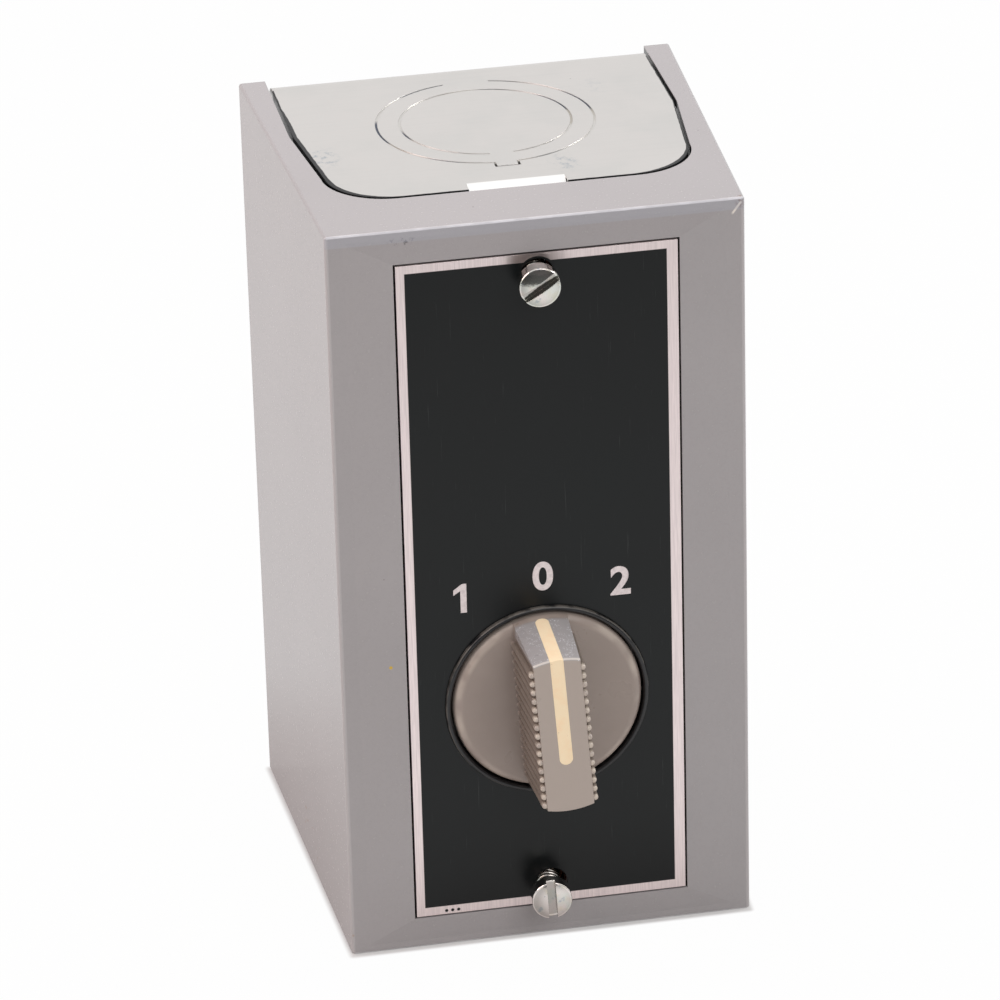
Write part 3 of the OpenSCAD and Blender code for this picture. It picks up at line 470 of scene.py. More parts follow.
def nameplate_enamel(settings):
    """Black enamel on brushed metal, with a bare border round it, enamel round the screw holes, and painted
    shade on the border round the upper screw.
    """
    made = Finish("nameplate_enamel")
    border = settings.border
    left, right = PLATE_LOW.x + border, PLATE_HIGH.x - border - WIDER_RIGHT
    black = made.inside(left, right, PLATE_LOW.z + border + WIDER_BELOW, PLATE_HIGH.z - border)
    for across in BORDER_DOTS:
        black = black | made.spot(across, PLATE_LOW.z + DOTS_UP, 0.22, 0.05)
    for up in (SCREW_UP, -SCREW_UP):
        black = black | made.spot(0, up, settings.ring_radius, 0.04)
    black = black * made.ease(made.y, PLATE_FACE + 0.12, PLATE_FACE + 0.06)
    bare = 1 - black
    brushed = made.noise(1.0, 2.0, 0.6, made.stretched(9.0, 9.0, 0.25))
    silver = made.blend(made.ease(brushed, 0.3, 0.75) * 0.5, tone(238, 224, 223), tone(200, 188, 188))
    # Painted shade on the bare border round the upper screw.
    silver = made.blend(made.spot(0, SCREW_UP + 1, 3.4, 1.6) * 0.6, silver, tone(90, 80, 76))
    cloud = made.noise(0.07, 3.0, 0.6)
    enamel = made.blend(made.ease(cloud, 0.35, 0.75), tone(10, 13, 14), tone(15, 19, 20))
    enamel = made.blend(made.specks(0.16, 0.02, 0.4) * 0.5, enamel, tone(130, 126, 120))
    scratch = made.ease(made.noise(1.0, 3.0, 0.7, made.stretched(5.0, 5.0, 0.12)), 0.66, 0.74)
    enamel = made.blend(scratch * 0.12, enamel, tone(110, 112, 112))
    relief = black * 0.6 + brushed * bare * 0.2 + scratch * black * -0.05
    return made.surface(
        Base_Color=made.blend(black, silver, enamel),
        Metallic=bare * 0.75,
        Roughness=black * (0.3 + made.ease(cloud, 0.3, 0.8) * 0.1) + bare * 0.3,
        Normal=made.relief(relief, 0.02, 0.06),
        Specular_IOR_Level=0.3,
    )


def moulded_grey(settings):
    """Warm grey moulded plastic, with painted shade on the lever's sides and painted light on its face, the
    disc's rim, the rib ends, the ridge and the upper end.
    """
    made = Finish("moulded_grey")
    lean = math.radians(settings.lean)
    up = made.z - KNOB_UP
    across = made.x * math.cos(lean) + up * math.sin(lean)
    along = up * math.cos(lean) - made.x * math.sin(lean)
    away = made.length(made.x, up)
    cloud = made.noise(0.16, 3.0, 0.6)
    mottle = made.ease(cloud, 0.35, 0.75) * 0.5
    colour = made.blend(mottle, shade(settings.colour), shade(settings.colour, 0.88))
    # Painted shade: the lever's sides darker than the disc.
    sides = made.ease(made.y, RIM - SIDES_AHEAD, RIM - SIDES_AHEAD - 0.7)
    colour = made.blend(sides * 0.65, colour, tone(110, 99, 89))
    # Painted highlight on the disc's rounded rim.
    rim_highlight = made.ease(away, RIM_HIGHLIGHT_FROM, RIM_HIGHLIGHT_FROM + 0.6) * made.ease(away, RIM_HIGHLIGHT_TO, RIM_HIGHLIGHT_TO - 0.35)
    rim_highlight = rim_highlight * (1 - sides) * made.ease(made.noise(0.25, 2.0), 0.35, 0.65)
    colour = made.blend(rim_highlight * 0.6, colour, tone(196, 184, 172))
    # Painted light: the lever's face lighter than the disc.
    face = made.ease(made.y, KNOB_FACE + 0.5, KNOB_FACE + 0.2)
    colour = made.blend(face, colour, tone(175, 163, 154))
    # Painted highlights on the ends of the ribs.
    bead_highlights = made.ease(abs(across), LEVER_FLAT - 0.1, LEVER_FLAT + 0.1)
    bead_highlights = bead_highlights * made.ease(made.y, KNOB_FACE + 1.0, KNOB_FACE + 0.5)
    bead_highlights = bead_highlights * made.ease(made.noise(1.4, 2.0), 0.4, 0.55)
    colour = made.blend(bead_highlights * 0.5, colour, tone(212, 200, 184))
    upper = made.ease(along, UPPER_FROM - 0.5, UPPER_FROM + 0.5)
    # Painted cool sheen on the lever's upper end, with painted glints.
    upper_end_sheen = made.ease(away, RIDGE_FROM - 0.12, RIDGE_FROM + 0.03) * sides
    upper_end_sheen = upper_end_sheen * upper * made.ease(abs(across), LEVER_SIDE + 0.2, LEVER_SIDE - 0.2)
    colour = made.blend(upper_end_sheen * 0.9, colour, tone(168, 165, 166))
    glints = made.ease(made.noise(5.0, 2.0, 0.7), 0.56, 0.66) * made.ease(made.noise(0.9, 2.0), 0.4, 0.6)
    colour = made.blend(glints * upper_end_sheen * 0.8, colour, tone(236, 240, 244))
    # Painted highlight along the ridge above the lever's end.
    ridge_highlight = made.ease(away, RIDGE_FROM, RIDGE_FROM + 0.1)
    ridge_highlight = ridge_highlight * made.ease(away, RIM_HIGHLIGHT_FROM, RIM_HIGHLIGHT_FROM - 0.15) * face * upper
    colour = made.blend(ridge_highlight, colour, tone(216, 210, 204))
    colour = made.blend(made.specks(0.35, 0.03, 0.4) * 0.5, colour, tone(84, 76, 70))
    return made.surface(
        Base_Color=colour,
        Roughness=0.27 + made.ease(cloud, 0.3, 0.8) * 0.08,
        Normal=made.relief(made.noise(1.6, 3.0, 0.6), 0.012, 0.1),
        Specular_IOR_Level=0.5,
    )


def cream_fill(settings):
    """Cream paint that fills the pointer's groove, with small dark marks."""
    made = Finish("cream_fill")
    cloud = made.noise(0.6, 3.0, 0.6)
    mottle = made.ease(cloud, 0.4, 0.75) * 0.4
    colour = made.blend(mottle, shade(settings.stripe_colour), tone(255, 218, 174))
    mark = made.ease(made.noise(1.5, 4.0, 0.7), 0.66, 0.72)
    colour = made.blend(mark * 0.6, colour, tone(150, 116, 84))
    return made.surface(
        Base_Color=colour,
        Roughness=0.5,
        Normal=made.relief(cloud, 0.02, 0.1),
        Specular_IOR_Level=0.4,
    )


def satin_black(settings):
    """Black moulded ring with a soft sheen, handling dust and a painted highlight on its outer edge."""
    made = Finish("satin_black")
    dust = made.ease(made.noise(0.8, 4.0, 0.7), 0.5, 0.75)
    colour = made.blend(dust * 0.2, shade(settings.ring_colour), tone(72, 68, 64))
    away = made.length(made.x, made.z - KNOB_UP)
    # Painted highlight on the ring's outer edge.
    rim_highlight = made.ease(away, RING_EDGE, RING_EDGE + 0.1) * made.ease(made.noise(0.35, 3.0), 0.42, 0.58)
    colour = made.blend(rim_highlight * 0.35, colour, tone(150, 144, 136))
    return made.surface(
        Base_Color=colour,
        Roughness=0.32 + dust * 0.15,
        Normal=made.relief(made.noise(2.0, 2.0), 0.01, 0.08),
        Specular_IOR_Level=0.5,
    )


def bright_zinc(name="bright_zinc", straw=0.25, slots=()):
    """Bright plated steel with faint tints and grime, and painted shade in slots that are given as across,
    up and out.
    """
    made = Finish(name)
    tint = made.noise(0.45, 2.0, 0.5)
    colour = made.blend(made.ease(tint, 0.4, 0.6) * 0.6, tone(222, 214, 210), tone(206, 214, 206))
    colour = made.blend(made.ease(made.noise(0.7, 2.0), 0.5, 0.7) * straw, colour, tone(206, 194, 150))
    colour = made.blend(made.ease(made.noise(1.1, 2.0), 0.62, 0.72) * 0.4, colour, tone(120, 140, 164))
    grime = made.ease(made.noise(2.5, 4.0, 0.7), 0.62, 0.78)
    colour = made.blend(grime * 0.35, colour, tone(70, 66, 60))
    for across, up, out in slots:
        # Painted shade in the slot's depth.
        slot_shade = made.ease(made.y, out + 0.4, out + 0.8) * made.spot(across, up, 2.4, 0.05)
        colour = made.blend(slot_shade * 0.5, colour, tone(110, 106, 100))
    return made.surface(
        Base_Color=colour,
        Metallic=1.0,
        Roughness=0.12 + grime * 0.25,
        Normal=made.relief(made.noise(1.4, 2.0), 0.015, 0.1),
    )


def sheared_metal():
    """Bright floor of a sheared line, blue-black in places and tan in others."""
    made = Finish("sheared_metal")
    place = made.noise(0.16, 2.0)
    colour = made.blend(made.ease(place, 0.4, 0.52), tone(176, 170, 160), tone(206, 204, 200))
    colour = made.blend(made.ease(made.noise(0.1, 1.0), 0.52, 0.6), colour, tone(58, 66, 84))
    return made.surface(
        Base_Color=colour,
        Metallic=0.7,
        Roughness=0.3 + place * 0.1,
        Normal=made.relief(made.noise(3.0, 2.0), 0.02),
    )


def plain_finish(name, first, second, rough, metallic=0.0, scale=0.6, depth=0.012):
    """A finish of an inner part: two tones in a fine mottle."""
    made = Finish(name)
    mottle = made.noise(scale, 4.0, 0.65)
    return made.surface(
        Base_Color=made.blend(made.ease(mottle, 0.35, 0.7), tone(*first), tone(*second)),
        Metallic=metallic,
        Roughness=rough + made.ease(mottle, 0.3, 0.8) * 0.12,
        Normal=made.relief(mottle, depth, 0.1),
    )


def wear(material, *parts):
    """Gives one material to CAD nodes or pieces."""
    for part in parts:
        piece = NODES[part] if isinstance(part, str) else part
        piece.data.materials.clear()
        piece.data.materials.append(material)


def new_piece(name, mesh, body):
    """Links a mesh as a piece of the object, on its body."""
    piece = bpy.data.objects.new(name, mesh)
    bpy.context.scene.collection.objects.link(piece)
    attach(piece, body)
    return piece


# Settings


class PaintSettings(bpy.types.PropertyGroup):
    colour: bpy.props.FloatVectorProperty(
        name="Paint", description="Colour of the cover's paint", subtype="COLOR", size=3,
        default=tone(166, 162, 163)[:3], min=0, max=1,
    )


class PlatingSettings(bpy.types.PropertyGroup):
    colour: bpy.props.FloatVectorProperty(
        name="Plating", description="Colour of the bracket's plating", subtype="COLOR", size=3,
        default=tone(207, 204, 201)[:3], min=0, max=1,
    )
    small_knockout: bpy.props.FloatProperty(
        name="Small knockout", description="Diameter of the small knockouts, in millimetres",
        default=22.2, min=15, max=30,
    )
    large_knockout: bpy.props.FloatProperty(
        name="Large knockout", description="Diameter of the large knockouts, in millimetres",
        default=28.2, min=20, max=40,
    )
    line: bpy.props.FloatProperty(
        name="Sheared line", description="Width of the sheared lines, in millimetres",
        default=0.3, min=0.1, max=1,
    )


class PlateSettings(bpy.types.PropertyGroup):
    border: bpy.props.FloatProperty(
        name="Border", description="Width of the nameplate's bare border, in millimetres",
        default=1.1, min=0.5, max=3,
    )
    ring_radius: bpy.props.FloatProperty(
        name="Enamel ring", description="Radius of the enamel round each screw hole, in millimetres",
        default=2.45, min=2, max=5,
    )
    cap_height: bpy.props.FloatProperty(
        name="Mark height", description="Height of the position numbers, in millimetres",
        default=4.1, min=2, max=6,
    )


class ScrewSettings(bpy.types.PropertyGroup):
    head_radius: bpy.props.FloatProperty(
        name="Head radius", description="Radius of the heads, in millimetres",
        default=2.63, min=2, max=4,
    )
    head_height: bpy.props.FloatProperty(
        name="Head height", description="Height of the heads' sides, in millimetres",
        default=2.05, min=1, max=3,
    )
    crown: bpy.props.FloatProperty(
        name="Crown", description="Rise of the heads' domes, in millimetres",
        default=0.36, min=0.1, max=1,
    )
    slot: bpy.props.FloatProperty(
        name="Slot", description="Width of the slots, in millimetres",
        default=1.15, min=0.5, max=2,
    )
    core: bpy.props.FloatProperty(
        name="Core radius", description="Radius at the thread's root, in millimetres",
        default=1.38, min=1, max=2,
    )
    depth: bpy.props.FloatProperty(
        name="Thread depth", description="Depth of the thread, in millimetres",
        default=0.36, min=0.1, max=0.6,
    )
    pitch: bpy.props.FloatProperty(
        name="Pitch", description="Pitch of the thread, in millimetres",
        default=0.79, min=0.4, max=1.5,
    )
    length: bpy.props.FloatProperty(
        name="Length", description="Length under the head, in millimetres",
        default=12.6, min=5, max=20,
    )


class KnobSettings(bpy.types.PropertyGroup):
    lean: bpy.props.FloatProperty(
        name="Lean", description="Turn of the lever to the left at rest, in degrees",
        default=4, min=0, max=8,
    )
    colour: bpy.props.FloatVectorProperty(
        name="Knob", description="Colour of the knob's plastic", subtype="COLOR", size=3,
        default=tone(154, 141, 133)[:3], min=0, max=1,
    )
    stripe_colour: bpy.props.FloatVectorProperty(
        name="Stripe", description="Colour of the pointer stripe", subtype="COLOR", size=3,
        default=tone(255, 234, 198)[:3], min=0, max=1,
    )
    ring_colour: bpy.props.FloatVectorProperty(
        name="Ring", description="Colour of the ring round the knob", subtype="COLOR", size=3,
        default=tone(26, 26, 28)[:3], min=0, max=1,
    )


class StudioSettings(bpy.types.PropertyGroup):
    sky: bpy.props.FloatProperty(
        name="Sky", description="Strength of the even light from all round",
        default=0.52, min=0, max=2,
    )
    key: bpy.props.FloatProperty(
        name="Key", description="Power of the lamp on the left",
        default=0.75, min=0, max=50, unit="POWER",
    )
    top: bpy.props.FloatProperty(
        name="Top", description="Power of the lamp above",
        default=2.7, min=0, max=50, unit="POWER",
    )
    fill: bpy.props.FloatProperty(
        name="Fill", description="Power of the lamp at the front",
        default=5.5, min=0, max=50, unit="POWER",
    )
    right: bpy.props.FloatProperty(
        name="Right", description="Power of the lamp on the right",
        default=1.6, min=0, max=50, unit="POWER",
    )


# Operators


class STATION_OT_cover(bpy.types.Operator):
    """Paint the cover"""

    bl_idname = "station.cover"
    bl_label = "Cover"

    def execute(self, context):
        wear(grey_paint(context.scene.station_paint), "cover")
        return {"FINISHED"}


class STATION_OT_bracket(bpy.types.Operator):
    """Plate the bracket and give its ground screw a green dye"""

    bl_idname = "station.bracket"
    bl_label = "Bracket"

    def execute(self, context):
        wear(zinc_plate(context.scene.station_plating), "base_bracket")
        wear(plain_finish("green_dye", (34, 96, 56), (20, 70, 40), 0.3, 0.6), "ground_screw")
        shear_knockouts(context.scene.station_plating)
        return {"FINISHED"}


class STATION_OT_nameplate(bpy.types.Operator):
    """Finish the nameplate and print the position numbers on it"""

    bl_idname = "station.nameplate"
    bl_label = "Nameplate"

    def execute(self, context):
        settings = context.scene.station_plate
        wear(nameplate_enamel(settings), "nameplate")
        print_marks(settings)
        return {"FINISHED"}


class STATION_OT_screws(bpy.types.Operator):
    """Make the two threaded cover screws"""

    bl_idname = "station.screws"
    bl_label = "Cover screws"

    def execute(self, context):
        settings = context.scene.station_screws
        steel = bright_zinc(slots=[(across, up, PLATE_FACE - out) for up, *_, across, out in SCREW_STANDS])
        wear(steel, "cover_screws")
        mesh = standing_screws(settings, steel)
        piece = new_piece("threaded_screws", mesh, "station")
        wear(steel, piece)
        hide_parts("cover_screws")
        return {"FINISHED"}


class STATION_OT_knob(bpy.types.Operator):
    """Finish the knob, its pointer stripe and the ring round it"""

    bl_idname = "station.knob"
    bl_label = "Knob"

    def execute(self, context):
        settings = context.scene.station_knob
        wear(moulded_grey(settings), "selector_knob")
        wear(cream_fill(settings), "pointer_inlay")
        wear(satin_black(settings), "bezel_ring")
        return {"FINISHED"}


class STATION_OT_works(bpy.types.Operator):
    """Finish the parts inside the cover"""

    bl_idname = "station.works"
    bl_label = "Inner works"

    def execute(self, context):
        phenolic = plain_finish("black_phenolic", (40, 37, 35), (58, 52, 48), 0.34)
        brown = plain_finish("brown_phenolic", (92, 58, 38), (66, 42, 30), 0.36)
        ivory = plain_finish("ivory_nylon", (226, 218, 198), (210, 200, 178), 0.42)
        fibre = plain_finish("red_fibre", (112, 68, 50), (86, 52, 40), 0.75, depth=0.03)
        brass = plain_finish("contact_brass", (206, 176, 112), (176, 142, 82), 0.28, 1.0)
        spring = plain_finish("spring_steel", (176, 176, 174), (140, 140, 140), 0.25, 1.0)
        steel = bright_zinc("plated_steel", 0.4)
        wear(phenolic, "operator_housing")
        wear(brown, "contact_block", "block_cover")
        wear(ivory, "cam", "plunger_left", "plunger_right")
        wear(fibre, "screw_retainers")
        sides = [f"{row}_{side}" for row in ("upper", "lower") for side in ("left", "right")]
        wear(brass, "bridge_left", "bridge_right", *(f"fixed_contact_{s}" for s in sides))
        wear(spring, "detent_spring", "return_spring_left", "return_spring_right")
        wear(steel, "mounting_yoke", "cam_screw", "terminal_screws", "wire_clamps", "stack_screws")
        return {"FINISHED"}


class STATION_OT_stage(bpy.types.Operator):
    """Set up the floor, the lights and the camera"""

    bl_idname = "station.stage"
    bl_label = "Studio"

    def execute(self, context):
        settings = context.scene.station_studio
        build_camera(context.scene)
        build_floor()
        build_sky(context.scene, settings.sky)
        for name, place, size, colour, mirrored in LAMPS:
            build_lamp(name, place, size, getattr(settings, name), colour, mirrored)
        return {"FINISHED"}


# Pieces


def as_mesh(made, name):
    """Mesh of a bmesh, which is then freed."""
    mesh = bpy.data.meshes.new(name)
    made.to_mesh(mesh)
    made.free()
    return mesh


def solid_of_revolution(outline, steps):
    """Closed mesh turned round Z from (radius, height) points that start and end on the axis or meet."""
    made = bmesh.new()
    rings = []
    for radius, height in outline:
        count = steps if radius else 1
        turns = [2 * math.pi * i / steps for i in range(count)]
        rings.append([made.verts.new((radius * math.cos(a), radius * math.sin(a), height)) for a in turns])
    for first, second in zip(rings, rings[1:]):
        for i in range(steps):
            corners = [first[i % len(first)], first[(i + 1) % len(first)]]
            corners += [second[(i + 1) % len(second)], second[i % len(second)]]
            made.faces.new(list(dict.fromkeys(corners)))
    bmesh.ops.recalc_face_normals(made, faces=made.faces)
    return as_mesh(made, "turned")


def shear_knockouts(settings):
    """Shallow floors of the sheared lines round the knockouts, at both ends."""
    overlap, steps = 0.02, 128
    both = bmesh.new()
    top, bottom = TOP - LINE_DEPTH, TOP - LINE_UNDERSIDE
    for width in (settings.small_knockout, settings.large_knockout):
        low, high = (width - settings.line) / 2 - overlap, (width + settings.line) / 2 + overlap
        outline = ((low, bottom), (high, bottom), (high, top), (low, top), (low, bottom))
        ring = solid_of_revolution(outline, steps)
        ring.transform(Matrix.Scale(MM, 4) @ Matrix.Translation((0, KNOCKOUT_Y, 0)))
        both.from_mesh(ring)
        ring.transform(Matrix.Rotation(math.pi, 4, "Y"))
        both.from_mesh(ring)
    bmesh.ops.remove_doubles(both, verts=both.verts, dist=WELD)
    piece = new_piece("knockout_lines", as_mesh(both, "knockout_lines"), "station")
    wear(sheared_metal(), piece)


def evaluated(piece):
    """Plain mesh of an object with its modifiers applied; the object is then removed."""
    graph = bpy.context.evaluated_depsgraph_get()
    mesh = bpy.data.meshes.new_from_object(piece.evaluated_get(graph))
    bpy.data.objects.remove(piece)
    return mesh


def scratch_object(name, mesh):
    """A linked object for the time that its modifiers or its text are worked out."""
    made = bpy.data.objects.new(name, mesh)
    bpy.context.scene.collection.objects.link(made)
    return made


def slotted_head(settings):
    """Domed head with a slot, its crown at height 0 and its edges eased."""
    slot_depth, edge = 0.8, 0.1
    dome_steps, round_steps = 10, 64
    dome_radius, shoulder = settings.head_radius * 0.97, 0.12
    r, crown = settings.head_radius, settings.crown
    seat = -crown - settings.head_height
    dome = [(dome_radius * i / dome_steps, -crown * (i / dome_steps) ** 2) for i in range(dome_steps + 1)]
    outline = dome + [(r, -crown - shoulder), (r, seat + edge), (r - edge, seat), (0, seat)]
    head = scratch_object("head", solid_of_revolution(outline, round_steps))
    long, tall = 8, 4
    middle = Matrix.Translation((0, 0, -crown - slot_depth + tall / 2))
    shape = bmesh.new()
    bmesh.ops.create_cube(shape, size=1, matrix=middle @ Matrix.Diagonal((long, settings.slot, tall, 1)))
    cutter = scratch_object("cutter", as_mesh(shape, "cutter"))
    cut = head.modifiers.new("slot", "BOOLEAN")
    cut.operation = "DIFFERENCE"
    cut.solver = "EXACT"
    cut.object = cutter
    eased = head.modifiers.new("eased", "BEVEL")
    eased.width = edge / 2
    eased.segments = 2
    eased.limit_method = "ANGLE"
    eased.angle_limit = math.radians(50)
    mesh = evaluated(head)
    bpy.data.objects.remove(cutter)
    return mesh


def thread_nodes(material):
    """Geometry Nodes for a threaded shank that hangs down from height 0."""
    tree = bpy.data.node_groups.new("threaded_shank", "GeometryNodeTree")
    for name in ("Core radius", "Thread depth", "Pitch", "Length"):
        tree.interface.new_socket(name, in_out="INPUT", socket_type="NodeSocketFloat")
    tree.interface.new_socket("Geometry", in_out="OUTPUT", socket_type="NodeSocketGeometry")
    graph = Graph(tree)
    core, depth, pitch, length = (graph.node("NodeGroupInput", out=i) for i in range(4))
    turn_steps, vee_corners, round_steps = 32, 4, 48
    turns = {"Resolution": turn_steps, "Rotations": length / pitch, "Height": length}
    helix = graph.node("GeometryNodeCurveSpiral", None, {**turns, "Start Radius": core, "End Radius": core})
    helix = graph.node("GeometryNodeSetCurveNormal", {"mode": "Z_UP"}, {"Curve": helix})
    vee = graph.node("GeometryNodeCurvePrimitiveCircle", None, {"Resolution": vee_corners, "Radius": depth})
    swept = {"Curve": helix, "Profile Curve": vee, "Fill Caps": True}
    thread = graph.node("GeometryNodeCurveToMesh", None, swept)
    blank = {"Vertices": round_steps, "Radius": core, "Depth": length}
    shank = graph.node("GeometryNodeMeshCylinder", None, blank)
    middle = graph.node("ShaderNodeCombineXYZ", None, {"Z": length / 2})
    shank = graph.node("GeometryNodeTransform", None, {"Geometry": shank, "Translation": middle})
    joined = graph.node("GeometryNodeJoinGeometry", None, {0: [thread, shank]})
    drop = graph.node("ShaderNodeCombineXYZ", None, {"Z": length * -1})
    lowered = graph.node("GeometryNodeTransform", None, {"Geometry": joined, "Translation": drop})
    plain = graph.node("GeometryNodeRealizeInstances", None, {"Geometry": lowered})
    dressed = graph.node("GeometryNodeSetMaterial", None, {"Geometry": plain, "Material": material})
    graph.node("NodeGroupOutput", None, {0: dressed})
    return tree


def threaded_screw(settings, material):
    """One screw in millimetres, its crown at height 0 and its shank going down."""
    blank = scratch_object("shank", bpy.data.meshes.new("shank"))
    modifier = blank.modifiers.new("thread", "NODES")
    tree = thread_nodes(material)
    modifier.node_group = tree
    sizes = (settings.core, settings.depth, settings.pitch, settings.length)
    sockets = [item for item in tree.interface.items_tree if item.in_out == "INPUT"]
    for socket, size in zip(sockets, sizes):
        modifier[socket.identifier] = size
    shank = evaluated(blank)
    shank.transform(Matrix.Translation((0, 0, -settings.crown - settings.head_height)))
    joined = bmesh.new()
    joined.from_mesh(slotted_head(settings))
    joined.from_mesh(shank)
    return as_mesh(joined, "screw")


def standing_screws(settings, material):
    """Both cover screws in one mesh, each backed out, turned and leaning as it stands."""
    screw = threaded_screw(settings, material)
    both = bmesh.new()
    half = settings.length / 2
    for up, extra, slot, lean, *_ in SCREW_STANDS:
        out = PLATE_FACE - SCREWS_LOW.y + extra
        foot = Matrix.Translation((0, PLATE_FACE + half, up)) @ Matrix.Rotation(math.radians(-lean), 4, "Z")
        stand = Matrix.Translation((0, -half - out, 0)) @ Matrix.Rotation(math.pi / 2, 4, "X")
        copy = screw.copy()
        copy.transform(Matrix.Scale(MM, 4) @ foot @ stand @ Matrix.Rotation(math.radians(slot), 4, "Z"))
        both.from_mesh(copy)
    return as_mesh(both, "threaded_screws")


def typed(digit):
    """A digit of the plain built-in font as a thin solid, its strokes a little thickened."""
    curve = bpy.data.curves.new(digit, "FONT")
    curve.body = digit
    curve.extrude = INK_DEPTH / 2
    curve.offset = STROKE_OFFSET
    curve.resolution_u = 8
    text = scratch_object(digit, curve)
    bpy.context.view_layer.update()
    return evaluated(text)


def flagged_one():
    """A plain 1 with its flag, as a thin solid."""
    made = bmesh.new()
    low, high = ([made.verts.new((x, y, z)) for x, y in OUTLINE_OF_1] for z in (0, INK_DEPTH))
    made.faces.new(low)
    made.faces.new(high)
    for corners in zip(low, low[1:] + low[:1], high[1:] + high[:1], high):
        made.faces.new(corners)
    return as_mesh(made, "one")


def print_marks(settings):
    """Plain position numbers above the knob."""
    ink = plain_finish("mark_ink", (236, 226, 226), (216, 206, 206), 0.45, scale=1.5)
    joined = bmesh.new()
    for digit, (across, up) in NUMBER_PLACES.items():
        flat = flagged_one() if digit == "1" else typed(digit)
        low = Vector([min(v.co[i] for v in flat.vertices) for i in range(3)])
        high = Vector([max(v.co[i] for v in flat.vertices) for i in range(3)])
        scale = settings.cap_height * MM / (high.y - low.y)
        thin = INK_DEPTH * MM / (high.z - low.z)
        turn = Matrix(((scale, 0, 0), (0, 0, -thin), (0, scale, 0)))
        place = Vector((across, PLATE_FACE - INK_SUNK, up)) * MM
        first = len(joined.verts)
        joined.from_mesh(flat)
        joined.verts.ensure_lookup_table()
        for vert in joined.verts[first:]:
            vert.co = turn @ (vert.co - (low + high) / 2) + place
    bmesh.ops.remove_doubles(joined, verts=joined.verts, dist=WELD)
    bmesh.ops.recalc_face_normals(joined, faces=joined.faces)
    piece = new_piece("position_numbers", as_mesh(joined, "position_numbers"), "station")
    wear(ink, piece)


def build_camera(scene):
    """Camera at the photograph's viewing angle."""
    camera = bpy.data.objects.new("camera", bpy.data.cameras.new("camera"))
    scene.collection.objects.link(camera)
    turn = Matrix((CAMERA_ACROSS, CAMERA_UP, CAMERA_BACK)).transposed().to_4x4()
    camera.matrix_world = Matrix.Translation(CAMERA_PLACE) @ turn
    camera.data.sensor_width = SENSOR
    camera.data.lens = FOCAL_PIXELS / FRAME_PIXELS * SENSOR
    camera.data.clip_start = 0.01
    camera.data.clip_end = 20
    scene.camera = camera


def seen_directly(graph):
    """1 for rays that show the background itself, in view, in a reflection or through glass."""
    kinds = ("Is Camera Ray", "Is Glossy Ray", "Is Transmission Ray")
    rays = [graph.node("ShaderNodeLightPath", out=kind) for kind in kinds]
    return rays[0] | rays[1] | rays[2]


def build_floor():
    """Pale floor with a thin contact shadow. In reflections it is dim near the part and far in front."""
    half, level = 6.0, CAD_BOX[0].z
    # Zones in millimetres, and the share of the floor's glow that each takes away
    contact_zone, contact_share = 0.9, 0.7
    dim_zone, dim_share = 36.0, 0.85
    far_from, far_to, far_share = -330.0, -400.0, 0.9
    glow_share = 0.98
    mesh = bpy.data.meshes.new("floor")
    corners = [(-half, -half, level), (half, -half, level), (half, half, level), (-half, half, level)]
    mesh.from_pydata(corners, [], [(0, 1, 2, 3)])
    floor = bpy.data.objects.new("floor", mesh)
    bpy.context.scene.collection.objects.link(floor)
    made = Finish("floor_paper")
    beside = (abs(made.x) - made.y * COVER_SPLAY - COVER_HIGH.x) | 0.0
    before = (made.y - COVER_HIGH.y) | (COVER_LOW.y - made.y) | 0.0
    away = made.length(beside, before)
    mirrored = made.node("ShaderNodeLightPath", out="Is Glossy Ray")
    diffuse = made.node("ShaderNodeBsdfDiffuse", None, {"Color": (0.55, 0.53, 0.52, 1)})
    bright = made.node("ShaderNodeEmission", None, {"Strength": 1.0})
    dark = made.node("ShaderNodeEmission", None, {"Strength": 0.0})
    far = mirrored * made.ease(made.y, far_from, far_to) * far_share
    glow = made.node("ShaderNodeMixShader", None, {0: far, 1: bright, 2: dark})
    contact = made.ease(away, contact_zone, 0.0) * contact_share
    shaded = made.ease(away, dim_zone, 0.0) * dim_share
    share = seen_directly(made) * (glow_share - (1 - mirrored) * contact - mirrored * shaded)
    mixed = made.node("ShaderNodeMixShader", None, {0: share, 1: diffuse, 2: glow})
    made.node("ShaderNodeOutputMaterial", None, {"Surface": mixed})
    mesh.materials.append(made.material)


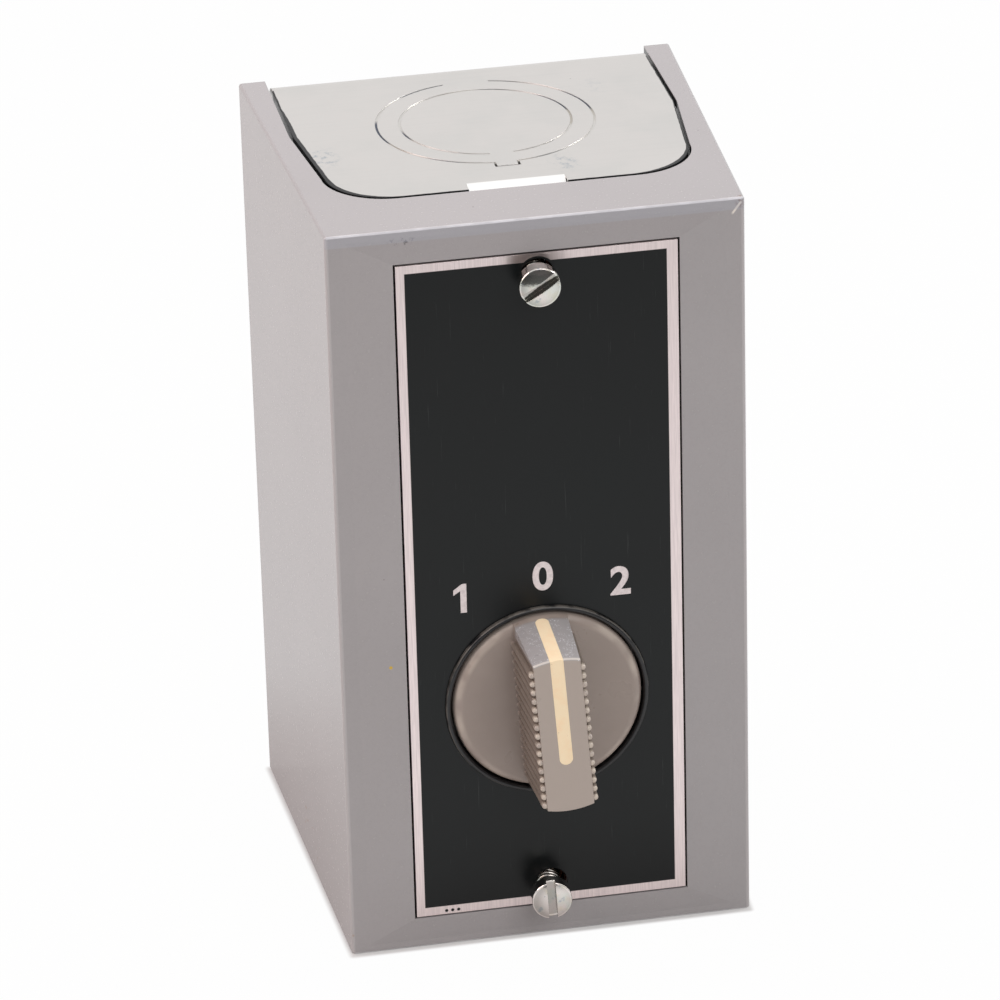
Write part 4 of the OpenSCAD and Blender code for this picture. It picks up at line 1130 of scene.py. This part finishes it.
def build_sky(scene, strength):
    """Even light from all round, a white background, and a dim room in front for reflections."""
    front_from, front_to = -0.3, -0.6
    low, high = 0.45, 0.7
    room_share = 0.85
    world = bpy.data.worlds.new("sky")
    world.use_nodes = True
    world.node_tree.nodes.clear()
    graph = Graph(world.node_tree)
    way = graph.node("ShaderNodeTexCoord", out="Generated")
    forward = graph.node("ShaderNodeSeparateXYZ", None, {0: way}, "Y")
    upward = graph.node("ShaderNodeSeparateXYZ", None, {0: way}, "Z")
    room = graph.ease(forward, front_from, front_to) * graph.ease(upward, high, low)
    mirrored = graph.node("ShaderNodeLightPath", out="Is Glossy Ray")
    level = strength + seen_directly(graph) * (1 - strength) - mirrored * room * room_share
    sky = graph.node("ShaderNodeBackground", None, {"Color": (1, 1, 1, 1), "Strength": level})
    graph.node("ShaderNodeOutputWorld", None, {"Surface": sky})
    scene.world = world
    scene.view_settings.view_transform = "Standard"


def build_lamp(name, place, size, power, colour, mirrored):
    """Square soft lamp that faces the part."""
    light = bpy.data.lights.new(name, "AREA")
    light.size = size
    light.energy = power
    light.color = colour
    lamp = bpy.data.objects.new(name, light)
    lamp.location = place
    lamp.rotation_mode = "QUATERNION"
    lamp.rotation_quaternion = (LIT_POINT - Vector(place)).to_track_quat("-Z", "Y")
    lamp.visible_glossy = mirrored
    bpy.context.scene.collection.objects.link(lamp)


class STATION_PT_panel(bpy.types.Panel):
    """Lists the steps that dress the station"""

    bl_label = "Control station"
    bl_space_type = "VIEW_3D"
    bl_region_type = "UI"
    bl_category = "Station"

    def draw(self, context):
        for operator in OPERATORS:
            self.layout.operator(operator.bl_idname)


SETTINGS = {
    "station_paint": PaintSettings,
    "station_plating": PlatingSettings,
    "station_plate": PlateSettings,
    "station_screws": ScrewSettings,
    "station_knob": KnobSettings,
    "station_studio": StudioSettings,
}
OPERATORS = (
    STATION_OT_stage,
    STATION_OT_cover,
    STATION_OT_bracket,
    STATION_OT_nameplate,
    STATION_OT_screws,
    STATION_OT_knob,
    STATION_OT_works,
)


def register():
    for made in (*SETTINGS.values(), *OPERATORS, STATION_PT_panel):
        bpy.utils.register_class(made)
    for name, group in SETTINGS.items():
        setattr(bpy.types.Scene, name, bpy.props.PointerProperty(type=group))


def unregister():
    for name in SETTINGS:
        delattr(bpy.types.Scene, name)
    for made in reversed((*SETTINGS.values(), *OPERATORS, STATION_PT_panel)):
        bpy.utils.unregister_class(made)


def main():
    """Runs every step in order."""
    register()
    for operator in OPERATORS:
        group, name = operator.bl_idname.split(".")
        getattr(getattr(bpy.ops, group), name)()


if __name__ == "__main__":
    main()
